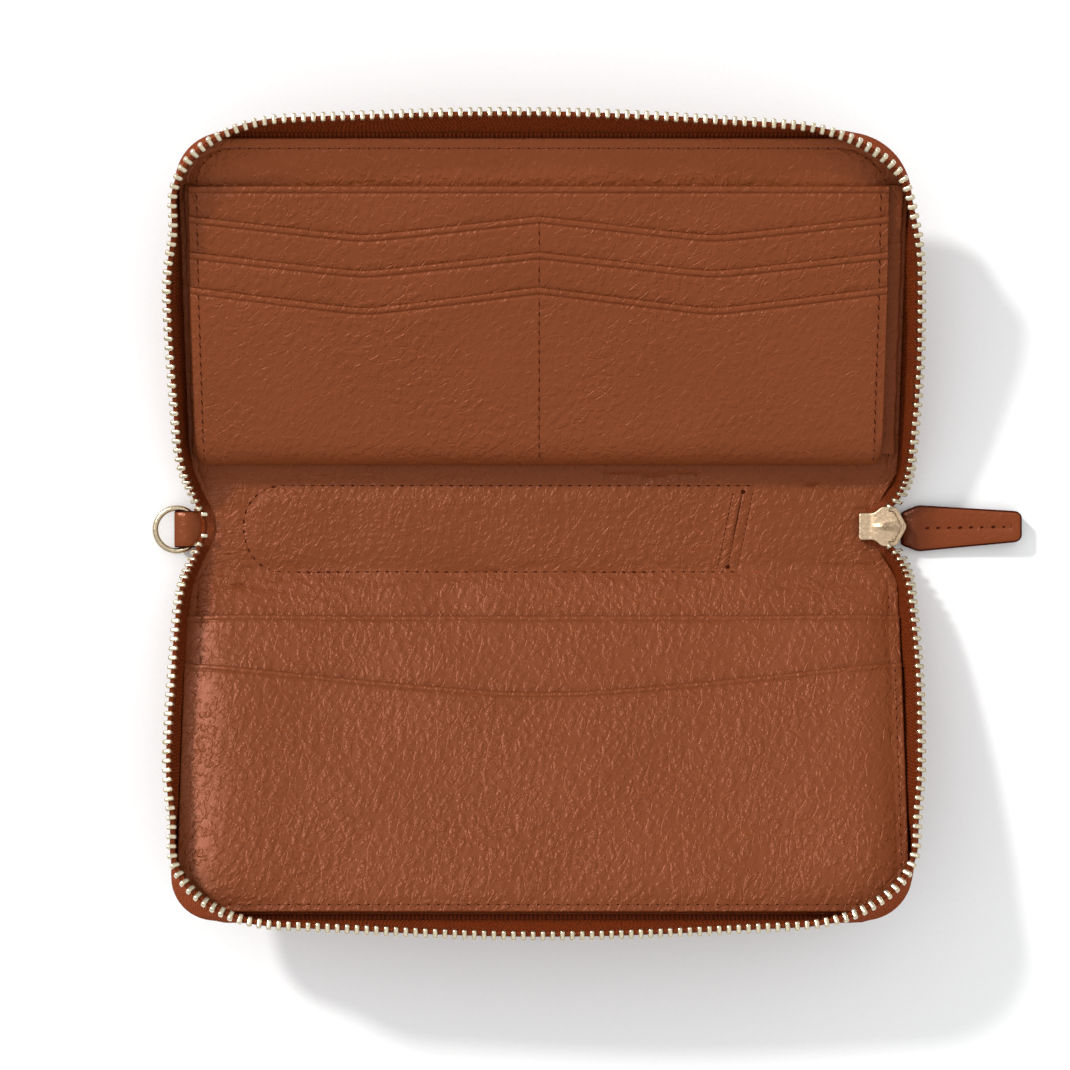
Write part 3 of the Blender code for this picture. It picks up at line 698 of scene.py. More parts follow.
def seam(soup, path, height, pitch=HEM_PITCH, lean=0.0, size=1.0, hole=SMALL_HOLE):
    """A row of stitches: needle slots painted dark as the shade inside them, with the thread dipping into them
    from both sides.
    """
    bead, bead_faces = pill(1.5 * size, 0.4 * size, 0.24)
    slit, slit_faces = pill(hole[0] * size, hole[1] * size, 0.14)
    tilt = math.radians(lean)
    for (px, py), (dx, dy) in evenly(path, pitch):
        ux = dx * math.cos(tilt) - dy * math.sin(tilt)
        uy = dx * math.sin(tilt) + dy * math.cos(tilt)
        for shape, faces, shift, slot, rise in (
            (bead, bead_faces, pitch / 2, THREAD, -0.02),
            (slit, slit_faces, 0.0, HOLE_SHADE, 0.02),
        ):
            cx, cy = px + dx * shift, py + dy * shift
            z = height(cx, cy) + rise
            across_x = cx + shape[:, 0] * ux - shape[:, 1] * uy
            across_y = cy + shape[:, 0] * uy + shape[:, 1] * ux
            soup.add(np.stack([across_x, across_y, z + shape[:, 2]], axis=1), faces, slot)


def hem_path(inset, halves, far, radii, near, sides):
    """The right side and far corners of a panel, a distance inside its edge, and its left side."""
    (half_left, half_right), (r_left, r_right) = halves, radii
    right = [(float(sides(y)[1] - inset), y) for y in np.linspace(near, far - r_right, 12)]
    left = [(float(sides(y)[0] + inset), y) for y in np.linspace(far - r_left, near, 12)]
    right += circle_arc(half_right - r_right, far - r_right, r_right - inset, r_right - inset, 5, 90, 8)
    right += circle_arc(r_left - half_left, far - r_left, r_left - inset, r_left - inset, 90, 175, 8)
    return right, left


# ------------------------ outer leather

COVER_TOP = flat_box("upper_cover", UPPER)[1]
COVER_HALF, COVER_FAR = COVER_TOP[0], COVER_TOP[1]
COVER_CORNER = {LOWER: (14.0, 15.5), UPPER: (16.0, 21.0)}  # radii of the (left, right) corner
WAIST_FLAT, WAIST_END = 3.0, 17.0  # the outline widens between these two y
COVER_WAIST = (2.6, 7.0)  # how much narrower the cover is at the spine, left and right


def narrowing(y):
    """1 at the spine's middle, where the outline is narrowest, to 0 where it is full width."""
    return 1 - smooth((np.abs(y) - WAIST_FLAT) / (WAIST_END - WAIST_FLAT))


def cover_sides(y):
    return COVER_WAIST[0] * narrowing(y) - COVER_HALF, COVER_HALF - COVER_WAIST[1] * narrowing(y)


def spine_bend(obj):
    """Bakes the piece's transform into its mesh; its bend at the fold comes from lift()."""
    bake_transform(obj)


def half_nodes(side, kind):
    """The CAD nodes of a half's cover or lining. The lower half's piece stands for the spine's too."""
    return [PREFIX[side] + kind] + (["spine_" + kind] if side == LOWER else [])


def build_cover(side):
    soup = Soup(side)
    far = rounded_edge(0, COVER_HALF, COVER_FAR, COVER_CORNER[side])
    sheet(soup, -COVER_HALF, COVER_HALF, level(0.0), far, 0.0, COVER_TOP[2], sides=cover_sides, radius=0.55,
          shape=lambda x, y, gaps: groove(gaps["edge"] - 1.5, 0.25, 0.12), open_near=True, seed=3, wobble=0.0,
          step=3.4)
    obj = soup.piece(PREFIX[side] + "outer_leather", ["cover"], half_nodes(side, "cover"))
    spine_bend(obj)


# ------------------------ lining

LINING_LOW, LINING_TOP = flat_box("upper_lining", UPPER)
LINING_HALF, LINING_FAR = LINING_TOP[0], LINING_TOP[1]
LINING_SPREAD = (96.3, 96.0)  # how far the lining really reaches, left and right
LINING_CORNER = {LOWER: (12.0, 12.0), UPPER: (13.0, 18.0)}
SPINE_LINING_LOW, SPINE_LINING_TOP = world_box("spine_lining")
HEM, HEM_START = 2.7, 19.0
PUFF_RISE, PUFF_SINK = 9.0, 20.0

PEN_LOW, PEN_TOP = world_box("pen_sleeve_backing")
PEN_LEFT, PEN_HALF = PEN_LOW[0], PEN_TOP[1]
PEN_REACH = {LOWER: PEN_HALF + 2.1, UPPER: PEN_HALF + 0.7}
PEN_PUFF = 0.34
SLIT_TOP, SLIT_BOTTOM = (54.1, 9.6), (49.9, -11.2)
SLIT_SLANT = (SLIT_TOP[0] - SLIT_BOTTOM[0], SLIT_TOP[1] - SLIT_BOTTOM[1])
SLIT_SEAM = 2.7  # from the slit to the row of stitches on each side of it

# A fold is (x, y, half its length, half its width, slope, depth). These ones run to the slider.
SLIDER_FOLDS = [
    (66.0, 14.2, 12.0, 0.55, -0.13, 0.3), (71.0, 12.0, 13.0, 0.5, -0.16, 0.38),
    (76.0, 10.4, 9.0, 0.5, -0.2, 0.4), (80.5, 12.6, 6.0, 0.6, -0.55, 0.4),
    (82.0, 9.2, 4.0, 0.45, -0.4, 0.35), (83.5, 14.0, 5.0, 0.6, -0.9, 0.35),
]
FOLD_RANGES = ((-90, 88), (11.0, 17.5), (5, 17), (0.3, 0.8), (-0.22, 0.22), (0.12, 0.34))
FOLD_COUNT = 46


def lining_sides(y):
    left = LINING_SPREAD[0] - (LINING_SPREAD[0] + SPINE_LINING_LOW[0]) * narrowing(y)
    right = LINING_SPREAD[1] - (LINING_SPREAD[1] - SPINE_LINING_TOP[0]) * narrowing(y)
    return -left, right


def slit_line(row_y):
    """x of the pen sleeve's slanting slit, in the row's own y."""
    return SLIT_BOTTOM[0] + SLIT_SLANT[0] * (row_y - SLIT_BOTTOM[1]) / SLIT_SLANT[1]


def inside_sleeve(x, row_y):
    """Signed distance inside the pen sleeve's outline."""
    reach = np.where(row_y > 0, PEN_REACH[UPPER], PEN_REACH[LOWER])
    round_end = reach - np.hypot(np.minimum(0.0, x - (PEN_LEFT + PEN_HALF)) * reach / PEN_HALF, row_y)
    return np.minimum(round_end, slit_line(row_y) + SLIT_SEAM - x)


def side_puff(gaps, size):
    """A soft side: it rises over its first millimetres, then sinks back slowly."""
    gap = np.minimum(gaps["left"], gaps["right"])
    rise = 1 - (1 - np.clip(gap / PUFF_RISE, 0, 1)) ** 2
    return size * rise * np.exp(-((np.maximum(0.0, gap - PUFF_RISE) / PUFF_SINK) ** 2))


def lining_shape(side):
    """Turned edge, the puffed pen sleeve with its slit, and the folds by the spine."""
    rng = np.random.default_rng(17 + side)
    folds = [[rng.uniform(*limits) for limits in FOLD_RANGES] for _ in range(FOLD_COUNT)]
    if side == UPPER:
        folds += SLIDER_FOLDS
    slit_end = SLIT_TOP[1] if side == UPPER else -SLIT_BOTTOM[1]

    def shape(x, y, gaps):
        row_y = side * y
        sleeve = inside_sleeve(x, row_y)
        total = PEN_PUFF * smooth(sleeve / 4.0) + groove(sleeve, 0.5, 0.1)
        total = total + groove(gaps["edge"] - HEM, 0.4, 0.14)
        beside = x - slit_line(row_y)
        on_slit = smooth((slit_end + 0.4 - y) / 0.8)
        total = total + on_slit * (groove(beside, 0.3, 0.28) - groove(beside + 1.1, 0.6, 0.1))
        for fold_x, fold_y, length, width, slope, depth in folds:
            offset = x - fold_x
            line = y - fold_y - slope * offset
            total = total - depth * np.exp(-((line / width) ** 2) - (offset / length) ** 2)
        return total + side_puff(gaps, 1.0) * smooth((y - 12) / 14) * smooth(gaps["far"] / 12)

    return shape


def build_lining(side):
    soup = Soup(side)
    far = rounded_edge(0, LINING_HALF, LINING_FAR, LINING_CORNER[side])
    extra_x = np.arange(SLIT_BOTTOM[0] - 3.0, SLIT_TOP[0] + 4.4, 0.22)
    height = sheet(soup, -LINING_HALF, LINING_HALF, level(0.0), far, LINING_LOW[2], LINING_TOP[2],
                   sides=lining_sides, radius=0.45, shape=lining_shape(side), open_near=True, seed=5,
                   wobble=1.3, step=1.05, extra_x=extra_x)
    path, left = hem_path(HEM, (LINING_HALF, LINING_HALF), LINING_FAR, LINING_CORNER[side], HEM_START,
                          lining_sides)
    seam(soup, path + left, height, lean=8)
    pen_seams(soup, side, height)
    obj = soup.piece(PREFIX[side] + "lining_leather", ["lining", "thread", "hole"], half_nodes(side, "lining"))
    spine_bend(obj)


def pen_seams(soup, side, height):
    """Stitches round this half's part of the pen sleeve and by its mouth, the slit, and its punched hole; the
    slit and the hole are dark pieces of painted shade.
    """
    slit_x, slit_y = SLIT_TOP if side == UPPER else SLIT_BOTTOM
    reach = slit_y * side
    turn = circle_arc(PEN_LEFT + PEN_HALF, 0, PEN_HALF, PEN_REACH[side], 180, 90, 8)
    seam(soup, turn + [(slit_x + SLIT_SEAM, PEN_REACH[side])], height, pitch=2.7, hole=(1.15, 0.46))
    start_x = slit_x - SLIT_SLANT[0] / SLIT_SLANT[1] * side * reach
    for offset in (-SLIT_SEAM, SLIT_SEAM):
        row = [(start_x + offset, 0.0), (slit_x + offset, reach)]
        seam(soup, row, height, pitch=1.5, size=0.8, hole=(0.8, 0.34))
    bottom = height((start_x + slit_x) / 2, reach / 2)
    # The slit and the punched hole are dark pieces, painted shade.
    slit = np.linspace((start_x, 0.0, bottom), (slit_x, reach, bottom), 12)
    tube(soup, slit, 0.1, sides=8, slot=HOLE_SHADE)
    disc, disc_faces = pill(1.3, 1.3, 0.4, rings=8, sides=14)
    soup.add(disc + np.array([slit_x, reach, height(slit_x + 1.6, reach)]), disc_faces, HOLE_SHADE)


# ------------------------ slip pockets on the lower half

POCKET_SPREAD = np.array([3.4, 3.0])  # wider than the CAD, left and right
POCKET_FAR, POCKET_CORNER, POCKET_HEM = 0.9, (12.0, 12.0), 1.9
MOUTH_ROUNDING = 0.18


def chevron(offset, rounding):
    """1 at offset 0, falling in straight lines to 0 at offsets -1 and 1, with its point rounded off."""
    return 1 - (np.hypot(offset, rounding) - rounding) / (math.hypot(1, rounding) - rounding)


def build_slip_pocket(name, dip, seed, material):
    low, high = flat_box(name, LOWER)
    half, far, mouth = high[0], high[1] + POCKET_FAR, low[1]
    spread = half + POCKET_SPREAD
    soup = Soup(LOWER)

    def sides(y):
        return np.full_like(y, -spread[0]), np.full_like(y, spread[1])

    def near(x):
        return mouth + dip * chevron(np.asarray(x, float) / half, MOUTH_ROUNDING)

    def shape(x, y, gaps):
        total = lip_roll(gaps["near"], 0.75, 0.55, 0.12) + groove(gaps["near"] - 1.65, 0.28, 0.17)
        total = total + side_puff(gaps, 1.35) * smooth(gaps["far"] / 14.0)
        return total - 0.5 * smooth((5.0 - gaps["far"]) / 5.0)

    far_line = rounded_edge(0, half, far, POCKET_CORNER)
    height = sheet(soup, -half, half, near, far_line, low[2], high[2], radius=0.4, shape=shape, seed=seed,
                   wobble=1.6, step=1.5, drop_low=True, sides=sides)
    if dip:
        path, _ = hem_path(POCKET_HEM, spread, far, POCKET_CORNER, mouth + 1, sides)
        seam(soup, path, height, lean=8)
    soup.piece(name + "_leather", [material, "thread", "hole"], [name], "lower_half")


# ------------------------ card block on the upper half

# From back to front: the y of its near edge, how far the roll at its bottom drops, how much higher its mouth
# is than its CAD box and how deep it dips, and where its side and middle stitches end.
PANELS = (
    ("card_block_back", 19.6, 0.0, 0.0, 0.0, None, None),
    ("card_block_face", 21.5, 0.0, 0.0, 0.0, 86.5, None),
    ("card_row_top", 22.5, 0.0, 0.3, 4.9, 78.0, 78.0),
    ("card_row_middle", 23.5, 0.0, -0.1, 4.9, 68.0, 68.0),
    ("card_row_front", 18.0, 4.4, 0.3, 5.5, 19.5, 20.5),
)
ROUND_DOWN, SIDE_SINK = 8.0, 3.5
CARD_LIP = 1.95
CARD_SEAM = 2.3  # from the block's side to its stitches


def block_shape(drop):
    """Turned lip along the mouth, a soft roll at the bottom, and slightly sunk sides."""

    def shape(x, y, gaps):
        total = lip_roll(gaps["far"], CARD_LIP * 0.45, 0.65, 0.17)
        total = total + groove(gaps["far"] - CARD_LIP, 0.36, 0.28)
        if drop:
            inside = np.clip((ROUND_DOWN - gaps["near"]) / ROUND_DOWN, 0, 1)
            total = total - drop * (1 - np.sqrt(np.maximum(0.0, 1 - inside**2)))
        side_gap = np.minimum(gaps["left"], gaps["right"])
        return total - 0.25 * smooth((SIDE_SINK - side_gap) / SIDE_SINK)

    return shape


def card_mouth(left, right, mouth_y, dip):
    """The mouth of a row of two slots, as a function of x: a chevron over each slot."""

    def line(x):
        share = (right - np.asarray(x, float)) / (right - left)
        return mouth_y - dip * chevron(2 * ((2 * share) % 1.0) - 1, 0.08)

    return line


def build_block():
    (left, _, _), (right, face_far, _) = flat_box("card_block_face", UPPER)
    middle, half = (left + right) / 2, (right - left) / 2
    for order, (name, near_y, drop, rise, dip, side_end, middle_end) in enumerate(PANELS):
        low, high = flat_box(name, UPPER)
        mouth = card_mouth(left, right, high[1] + rise, dip) if dip else level(face_far)
        near = rounded_edge(middle, half, near_y, (3.0, 3.0), outwards=-1.0)
        soup = Soup(UPPER)
        height = sheet(soup, left, right, near, mouth, low[2], high[2], radius=0.3, shape=block_shape(drop),
                       seed=20 + order, wobble=1.2, step=1.5, drop_low=True)
        if side_end:
            for x in (left + CARD_SEAM, right - CARD_SEAM):
                row = [(x, float(mouth(x)) - 1.2), (x, side_end)]
                seam(soup, row, height, lean=14, hole=(1.5, 0.34))
        if middle_end:
            x = middle + 0.1
            row = [(x, float(mouth(x)) - 0.6), (x, middle_end)]
            seam(soup, row, height, lean=6, hole=(1.4, 0.3))
        soup.piece(name + "_leather", ["block", "thread", "hole"], [name], "card_block")


def build_gusset(name, side):
    """A bellows folded flat: a leaf on the lining, the outer fold, and an upper leaf under the block."""
    low, high = flat_box(name, UPPER)
    root, fold = (low[0], high[0]) if side > 0 else (high[0], low[0])
    bottom, top = low[2] + 0.25, high[2] - 0.25
    radius = (top - bottom) / 2
    leaf = root + (fold - side * radius - root) * np.linspace(0, 1, 8)
    bend = [(fold - side * radius + side * x, z)
            for x, z in circle_arc(0, (bottom + top) / 2, radius, radius, -90, 90, 8)[1:-1]]
    outline = [(x, bottom) for x in leaf] + bend + [(x, top) for x in leaf[::-1]]
    rows = []
    for y in np.linspace(low[1], high[1], 40):
        wave = 0.12 * math.sin(y * 0.37) + 0.08 * math.sin(y * 0.83 + 1)
        rows.append([(x + side * wave * (abs(x) > abs(root) + 1), y, z) for x, z in outline])
    soup = Soup(UPPER)
    ribbon(soup, rows, 0.45)
    obj = soup.piece(name + "_leather", ["block"], [name])
    start, end = lift([(0, 50, low[2]), (0, 50, high[2])], UPPER)
    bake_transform(obj)


# ------------------------ zip

RIM_START, RIM_HALF = 22.0, 97.6  # where the straight sides of the rim start, and half its width
RIM_FAR = {LOWER: 109.4, UPPER: 110.5}
# For the (left, right) corner: the rim's radii across and along, and the radius and outward bulge of the
# tape's foot.
RIM_CORNER = {LOWER: ((28.0, 22.0), (31.0, 23.0)), UPPER: ((31.0, 23.0), (33.5, 24.0))}
BASE_CORNER = {LOWER: ((12.0, 2.6), (13.5, 1.7)), UPPER: ((14.0, 1.7), (18.0, 1.6))}
# How far the rim is pulled in before its (left, right) corner, and at which y.
SHOULDER = {LOWER: (1.35, 1.0), UPPER: (1.9, 1.9)}
SHOULDER_Y = {LOWER: (84.0, 84.0), UPPER: (84.0, 90.0)}
SHOULDER_REACH, CORNER_X = 8.0, 90
SIDE_BOW, EDGE_BOW, RIGHT_BOW, TAPE_INSET = 1.3, 3.1, 1.15, 1.4
EDGE_SLANT = 0.013  # the upper half's far rim slants by this share of x
SIDE_STEPS, CORNER_STEPS = 25, 26

# (foot, rim) points of the tape by the slider and by the D-ring, as if on the right.
RIGHT_END = [
    ((86.6, 5.4, 2.6), (88.6, 3.0, 4.5)), ((89.0, 6.6, 2.6), (90.8, 3.3, 4.5)),
    ((91.4, 7.6, 2.5), (93.0, 4.2, 4.6)), ((93.2, 8.8, 2.3), (95.0, 6.0, 4.9)),
    ((94.4, 10.8, 2.1), (96.4, 8.4, 5.8)), ((95.2, 13.2, 1.8), (97.2, 11.6, 7.4)),
    ((95.7, 16.0, 1.6), (97.6, 15.2, 9.2)), ((96.0, 19.0, 1.5), (97.7, 18.8, 10.6)),
]
LEFT_END = [
    ((89.4, 0.02, 4.1), (92.2, 0.02, 4.4)), ((89.9, 3.2, 3.9), (92.5, 3.4, 4.8)),
    ((90.7, 5.8, 3.5), (93.8, 5.8, 5.5)), ((91.9, 8.4, 2.9), (94.9, 8.0, 6.5)),
    ((93.4, 10.8, 2.4), (95.7, 10.2, 7.4)), ((94.6, 13.2, 2.0), (96.5, 12.4, 8.4)),
    ((95.5, 16.0, 1.6), (97.3, 15.4, 9.6)), ((96.0, 19.0, 1.5), (97.7, 18.8, 10.6)),
]

TAPE_LOW = flat_box("upper_zip_tape", UPPER)[0]
TEETH_LOW, TEETH_HIGH = flat_box("upper_zip_teeth", UPPER)
CORD_Z = (TEETH_LOW[2] + TEETH_HIGH[2]) / 2 - 0.15
FOOT, FOOT_SWELL = 1.2, 2.6  # how far the tape's foot turns outwards, and how much more it does at a corner
FOOT_LINES, WALL_LINES, CORD_SIDES = (1.0, 0.5, 0.15), 13, 10
TAPE_THICK, CORD_EDGE_THICK, CORD_RADIUS = 0.5, 0.9, 0.72
TAPE_WIDTH = 10.0

TOOTH_LENGTH, TOOTH_WIDTH, TOOTH_PITCH = 1.36, 0.7, 2.54
TOOTH_RINGS, TOOTH_SIDES = 9, 12
FIRST_TOOTH, LAST_TOOTH = 5.6, 5.2  # from the tape's right and left end
STOP_X, STOP_Y = -91.6, {LOWER: -2.5, UPPER: 3.3}


def swell(y):
    """How far towards a corner a height y of the layout is, from 0 to 1."""
    return smooth((y - 78) / 14)


def rim_side(side, corner, base_corner):
    """(foot, rim) points of one side's straight, its corner and half the far edge, for x above 0."""
    far, foot_x, foot_far = RIM_FAR[side], COVER_HALF - TAPE_INSET, COVER_FAR - 0.6
    radius, bulge = base_corner
    foot_end, rim_end = foot_far - radius, far - corner[1]
    shares = np.linspace(0, 1, SIDE_STEPS)
    rim = [(RIM_HALF, RIM_START + (rim_end - RIM_START) * share) for share in shares]
    foot = [(foot_x, RIM_START + (foot_end - RIM_START) * share) for share in shares]
    rim += circle_arc(RIM_HALF - corner[0], rim_end, *corner, 0, 90, CORNER_STEPS)[1:]
    foot += circle_arc(foot_x - radius, foot_end, radius, radius, 0, 90, CORNER_STEPS)[1:]
    for line in (rim, foot):
        x, y = line[-1]
        line += [(x * (1 - share), y) for share in shares[1:]]
    found = []
    for (x, y), (base_x, base_y) in zip(rim, foot):
        side_bow = SIDE_BOW * math.sin(math.pi * (y - WAIST_END) / (far - WAIST_END)) ** 2
        edge_bow = EDGE_BOW * math.cos(math.pi * x / (2 * RIM_HALF)) ** 2
        point = (x + side_bow * min(1.0, x / corner[0]), y + edge_bow, CORD_Z)
        bulged = base_x + bulge * swell(base_y) * min(1.0, base_x / CORNER_X)
        found.append(((bulged, base_y, TAPE_LOW[2]), point))
    return found


def rim_pairs(side):
    """(foot, rim) points of the tape wall, from the right of the spine round the far side to its left."""
    corners, bases = RIM_CORNER[side], BASE_CORNER[side]
    left, right = [], []

    def shoulder(at, y):
        return SHOULDER[side][at] * hump(y, SHOULDER_Y[side][at], SHOULDER_REACH)

    def slant(x, y):
        return EDGE_SLANT * x * smooth((y - 90) / 15) if side == UPPER else 0.0

    for b, (x, y, z) in RIGHT_END + rim_side(side, corners[1], bases[1]):
        out = (RIGHT_BOW * hump(y, 38.0, 22.0) - shoulder(1, y)) * min(1.0, x / CORNER_X)
        right.append(((b[0] + max(0.0, out) * 0.4, b[1], b[2]), (x + out, y - slant(x, y), z)))
    for b, (x, y, z) in LEFT_END + rim_side(side, corners[0], bases[0]):
        pull_in = 1.3 * hump(y, 14.2, 6.0) + hump(y, 3.0, 3.0)
        held = shoulder(0, y) * min(1.0, x / CORNER_X)
        left.append(((pull_in * 0.7 - b[0], b[1], b[2]), (pull_in + held - x, y + slant(x, y), z)))
    return right + left[-2::-1]


def zip_lines(side):
    """The tape's foot and rim, and how far along the rim each of their points is."""
    foot, rim = (smooth_path(line) for line in zip(*rim_pairs(side)))
    both = resampled(np.concatenate([rim, foot], axis=1), 1.0)
    return both[:, 3:], both[:, :3], distances(both[:, :3])


def build_tape(side, foot, rim, reach):
    soup = Soup(side)
    flange = (FOOT + FOOT_SWELL * swell(foot[:, 1])) * smooth((foot[:, 1] - 30) / 10) + 0.05
    ahead = np.gradient(rim, axis=0)
    outward = np.stack([ahead[:, 1], -ahead[:, 0], np.zeros(len(ahead))], axis=1)
    outward /= np.linalg.norm(outward, axis=1, keepdims=True)
    grid = np.zeros((len(rim), len(FOOT_LINES) + WALL_LINES, 3))
    weave = np.zeros_like(grid)
    weave[:, :, 0] = reach[:, None]
    for k, share in enumerate(FOOT_LINES):
        grid[:, k] = foot - outward * (flange * share)[:, None]
    for k, share in enumerate(np.linspace(0, 1, WALL_LINES), len(FOOT_LINES)):
        pucker = 0.10 * np.sin(reach * 2 * math.pi / 9.0 + share) * math.sin(math.pi * share)
        grid[:, k] = foot * (1 - share) + rim * share + outward * pucker[:, None]
        weave[:, k, 1] = share * TAPE_WIDTH
    # Painted light: by the spine's middle the inner face takes the outer face's lighter colour.
    weave[:, :, 2] = smooth((7.0 - rim[:, 1]) / 4.0)[:, None]
    thickness = np.full(grid.shape[:2], TAPE_THICK)
    thickness[:, -2:] = CORD_EDGE_THICK
    ribbon(soup, grid, thickness, weave=weave)
    tube(soup, rim, CORD_RADIUS, sides=CORD_SIDES)
    soup.weave[-1][:, 0] = np.repeat(reach, CORD_SIDES)
    soup.weave[-1][:, 1] = np.tile(np.arange(CORD_SIDES) * TAPE_PICK, len(rim))
    # The cord takes almost all of the inner face's darker colour, painted shade.
    soup.weave[-1][:, 2] = 0.25
    replaced = [PREFIX[side] + name for name in ("zip_tape", "tape_end_right", "tape_end_left")]
    obj = soup.piece(PREFIX[side] + "woven_zip_tape", ["tape"], replaced, sharp=60)
    spine_bend(obj)


def tooth_shape():
    """A stubby rounded bar, widest across the tape, with a hollow across the middle of its top."""
    points = []
    for r in range(TOOTH_RINGS + 1):
        tilt = math.pi * r / TOOTH_RINGS
        for s in range(TOOTH_SIDES):
            turn = 2 * math.pi * (s + 0.5) / TOOTH_SIDES
            value = (math.cos(tilt), math.sin(tilt) * math.cos(turn), math.sin(tilt) * math.sin(turn))
            points.append([math.copysign(abs(v) ** 0.5, v) for v in value])
    across, ahead, upward = np.array(points).T
    hollow = 0.34 * np.exp(-(((across + 0.1) / 0.24) ** 2)) * np.maximum(0.0, upward)
    waist = 1 - 0.12 * np.exp(-((across / 0.3) ** 2))
    shape = np.stack([across * TOOTH_LENGTH, ahead * TOOTH_WIDTH * waist, upward - hollow], axis=1)
    return shape, faces_round(TOOTH_RINGS + 1, TOOTH_SIDES)


def build_teeth(side, foot, rim, reach):
    shape, faces = tooth_shape()
    soup = Soup(side)
    start, end = FIRST_TOOTH, reach[-1] - LAST_TOOTH
    count = int(round((end - start) / TOOTH_PITCH))
    rng = np.random.default_rng(41 + side)

    def at(target, line):
        return np.array([np.interp(target, reach, column) for column in line.T])

    for i in range(count + 1):
        target = start + (end - start) * i / count
        here = at(target, rim)
        ahead = at(target + 0.8, rim) - at(target - 0.8, rim)
        ahead /= np.linalg.norm(ahead)
        upward = here - at(target, foot)
        upward -= ahead * (upward @ ahead)
        upward /= np.linalg.norm(upward)
        across = np.cross(ahead, upward)
        turn = rng.normal(0, 0.03)
        turned_ahead = ahead * math.cos(turn) + across * math.sin(turn)
        turned_across = across * math.cos(turn) - ahead * math.sin(turn)
        longer = 1 + 0.35 * hump(i, 0.0, 5.0)
        centre = here + upward * 0.3 + across * 0.3
        soup.add(centre + shape[:, :1] * longer * turned_across + shape[:, 1:2] * turned_ahead
                 + shape[:, 2:] * upward, faces)
    obj = soup.piece(PREFIX[side] + "metal_teeth", ["gold"], [PREFIX[side] + "zip_teeth"], sharp=60)
    spine_bend(obj)


def build_top_stop(side):
    name = PREFIX[side] + "zip_top_stop"
    low, high = world_box(name)
    middle = np.array([STOP_X, STOP_Y[side], (low[2] + high[2]) / 2])
    shape, faces = tooth_shape()
    soup = Soup()
    soup.add(middle + shape * np.array([0.72, 0.9, (high[2] - low[2]) / 2]), faces)
    soup.piece(name + "_bead", ["gold"], [name], "spine", sharp=60)


# ------------------------ slider and pull

# (distance from the rear, half width) along the slider's plates.
SLIDER_OUTLINE = [(0, 3.1), (0.2, 3.5), (0.6, 3.7), (3.9, 3.72), (4.7, 4.05), (5.6, 4.95), (6.3, 5.35),
                  (6.9, 5.45), (9.2, 5.45), (9.9, 5.35), (10.4, 5.0), (10.8, 4.4), (12.3, 1.7), (12.75, 0.9),
                  (13.0, 0.4)]
SLIDER_POST = [(6.0, 0.5), (9.0, 1.9), (12.2, 0.9)]
SLIDER_WALL = [(0.5, 3.2), (2.5, 3.2), (4.6, 3.5)]
PLATE = 0.9


def build_slider():
    low, high = world_box("slider_body")
    rear, nose = low[0], high[0]
    soup = Soup()

    def top_shape(x, y, gaps):
        share = np.clip((x - rear - 3.6) / 8.0, 0, 1)
        roof = 0.55 * share * np.clip(1 - np.abs(y) / 5.0, 0, 1)
        crest = 0.8 * smooth(share * 2) * np.clip(1 - np.abs(y) / (0.7 + 1.3 * share), 0, 1)
        on_nose = smooth((x - rear - 8.2) / 1.0)
        step = -0.75 * on_nose * smooth((1.5 - gaps["edge"]) / 0.3)
        shoulder = -0.25 * smooth((rear + 4.4 - x) / 1.5)
        return (roof + crest) * smooth((gaps["edge"] - 1.2) / 0.5) + step + shoulder - 0.2

    def plate(start, end, stations, bottom, top, **settings):
        half = through([(rear + x, y) for x, y in stations])
        sheet(soup, start, end, lambda x: -half(x), half, bottom, top, wobble=0.0, **settings)

    plate(rear, nose, SLIDER_OUTLINE, high[2] - PLATE, high[2], step=0.3, radius=0.4, shape=top_shape)
    plate(rear, nose, SLIDER_OUTLINE, low[2], low[2] + PLATE, step=0.6, radius=0.4)
    plate(rear + SLIDER_POST[0][0], rear + SLIDER_POST[-1][0], SLIDER_POST, low[2] + 0.5, high[2] - 0.6,
          step=0.6, radius=0.2)
    for side in (-1, 1):
        ribbon(soup, [[(rear + x, side * y, low[2] + 0.8 + (high[2] - low[2] - 1.8) * k / 3)
                       for x, y in SLIDER_WALL] for k in range(4)], 0.6)
    soup.piece("slider_shell", ["satin_gold"], ["slider_body"], "slider",
               sharp=28)


def build_bail():
    low, high = world_box("slider_bail")
    top = high[2] + 0.3
    path = [(low[0] + 0.3, top), (low[0] + 0.25, low[2] + 0.7), (low[0] + 0.8, low[2] + 0.25),
            (high[0] - 0.8, low[2] + 0.25), (high[0] - 0.25, low[2] + 0.7), (high[0] - 0.3, top)]
    soup = Soup()
    ribbon(soup, [[(x, y, z) for y in np.linspace(low[1], high[1], 6)]
                  for x, z in smooth_path(resampled(path, 0.25), 2)], 0.42)
    soup.piece("bail_strap", ["satin_gold"], ["slider_bail"], "slider")


def build_link():
    """A rounded rectangle of wire that joins the pull to the bail."""
    low, high = world_box("pull_link")
    wire, corner = 0.28, 0.9
    left, right = low[0] + wire, high[0] - wire
    near, far = low[1] + wire, high[1] - wire
    z = (low[2] + high[2]) / 2
    points = []
    for x, y, start in ((right - corner, far - corner, 0), (left + corner, far - corner, 90),
                        (left + corner, near + corner, 180), (right - corner, near + corner, 270)):
        points += [(px, py, z) for px, py in circle_arc(x, y, corner, corner, start, start + 90, 6)]
    soup = Soup()
    tube(soup, points, wire, sides=10, closed=True)
    soup.piece("link_wire", ["satin_gold"], ["pull_link"], "pull")


PULL_TIP, PULL_END_HALF, PULL_END_ROUND = 2.4, 4.3, 2.0
PULL_ARCH, PULL_TURN_DOWN = 2.7, 0.22
PULL_EDGE = 3  # material slot of the painted edge


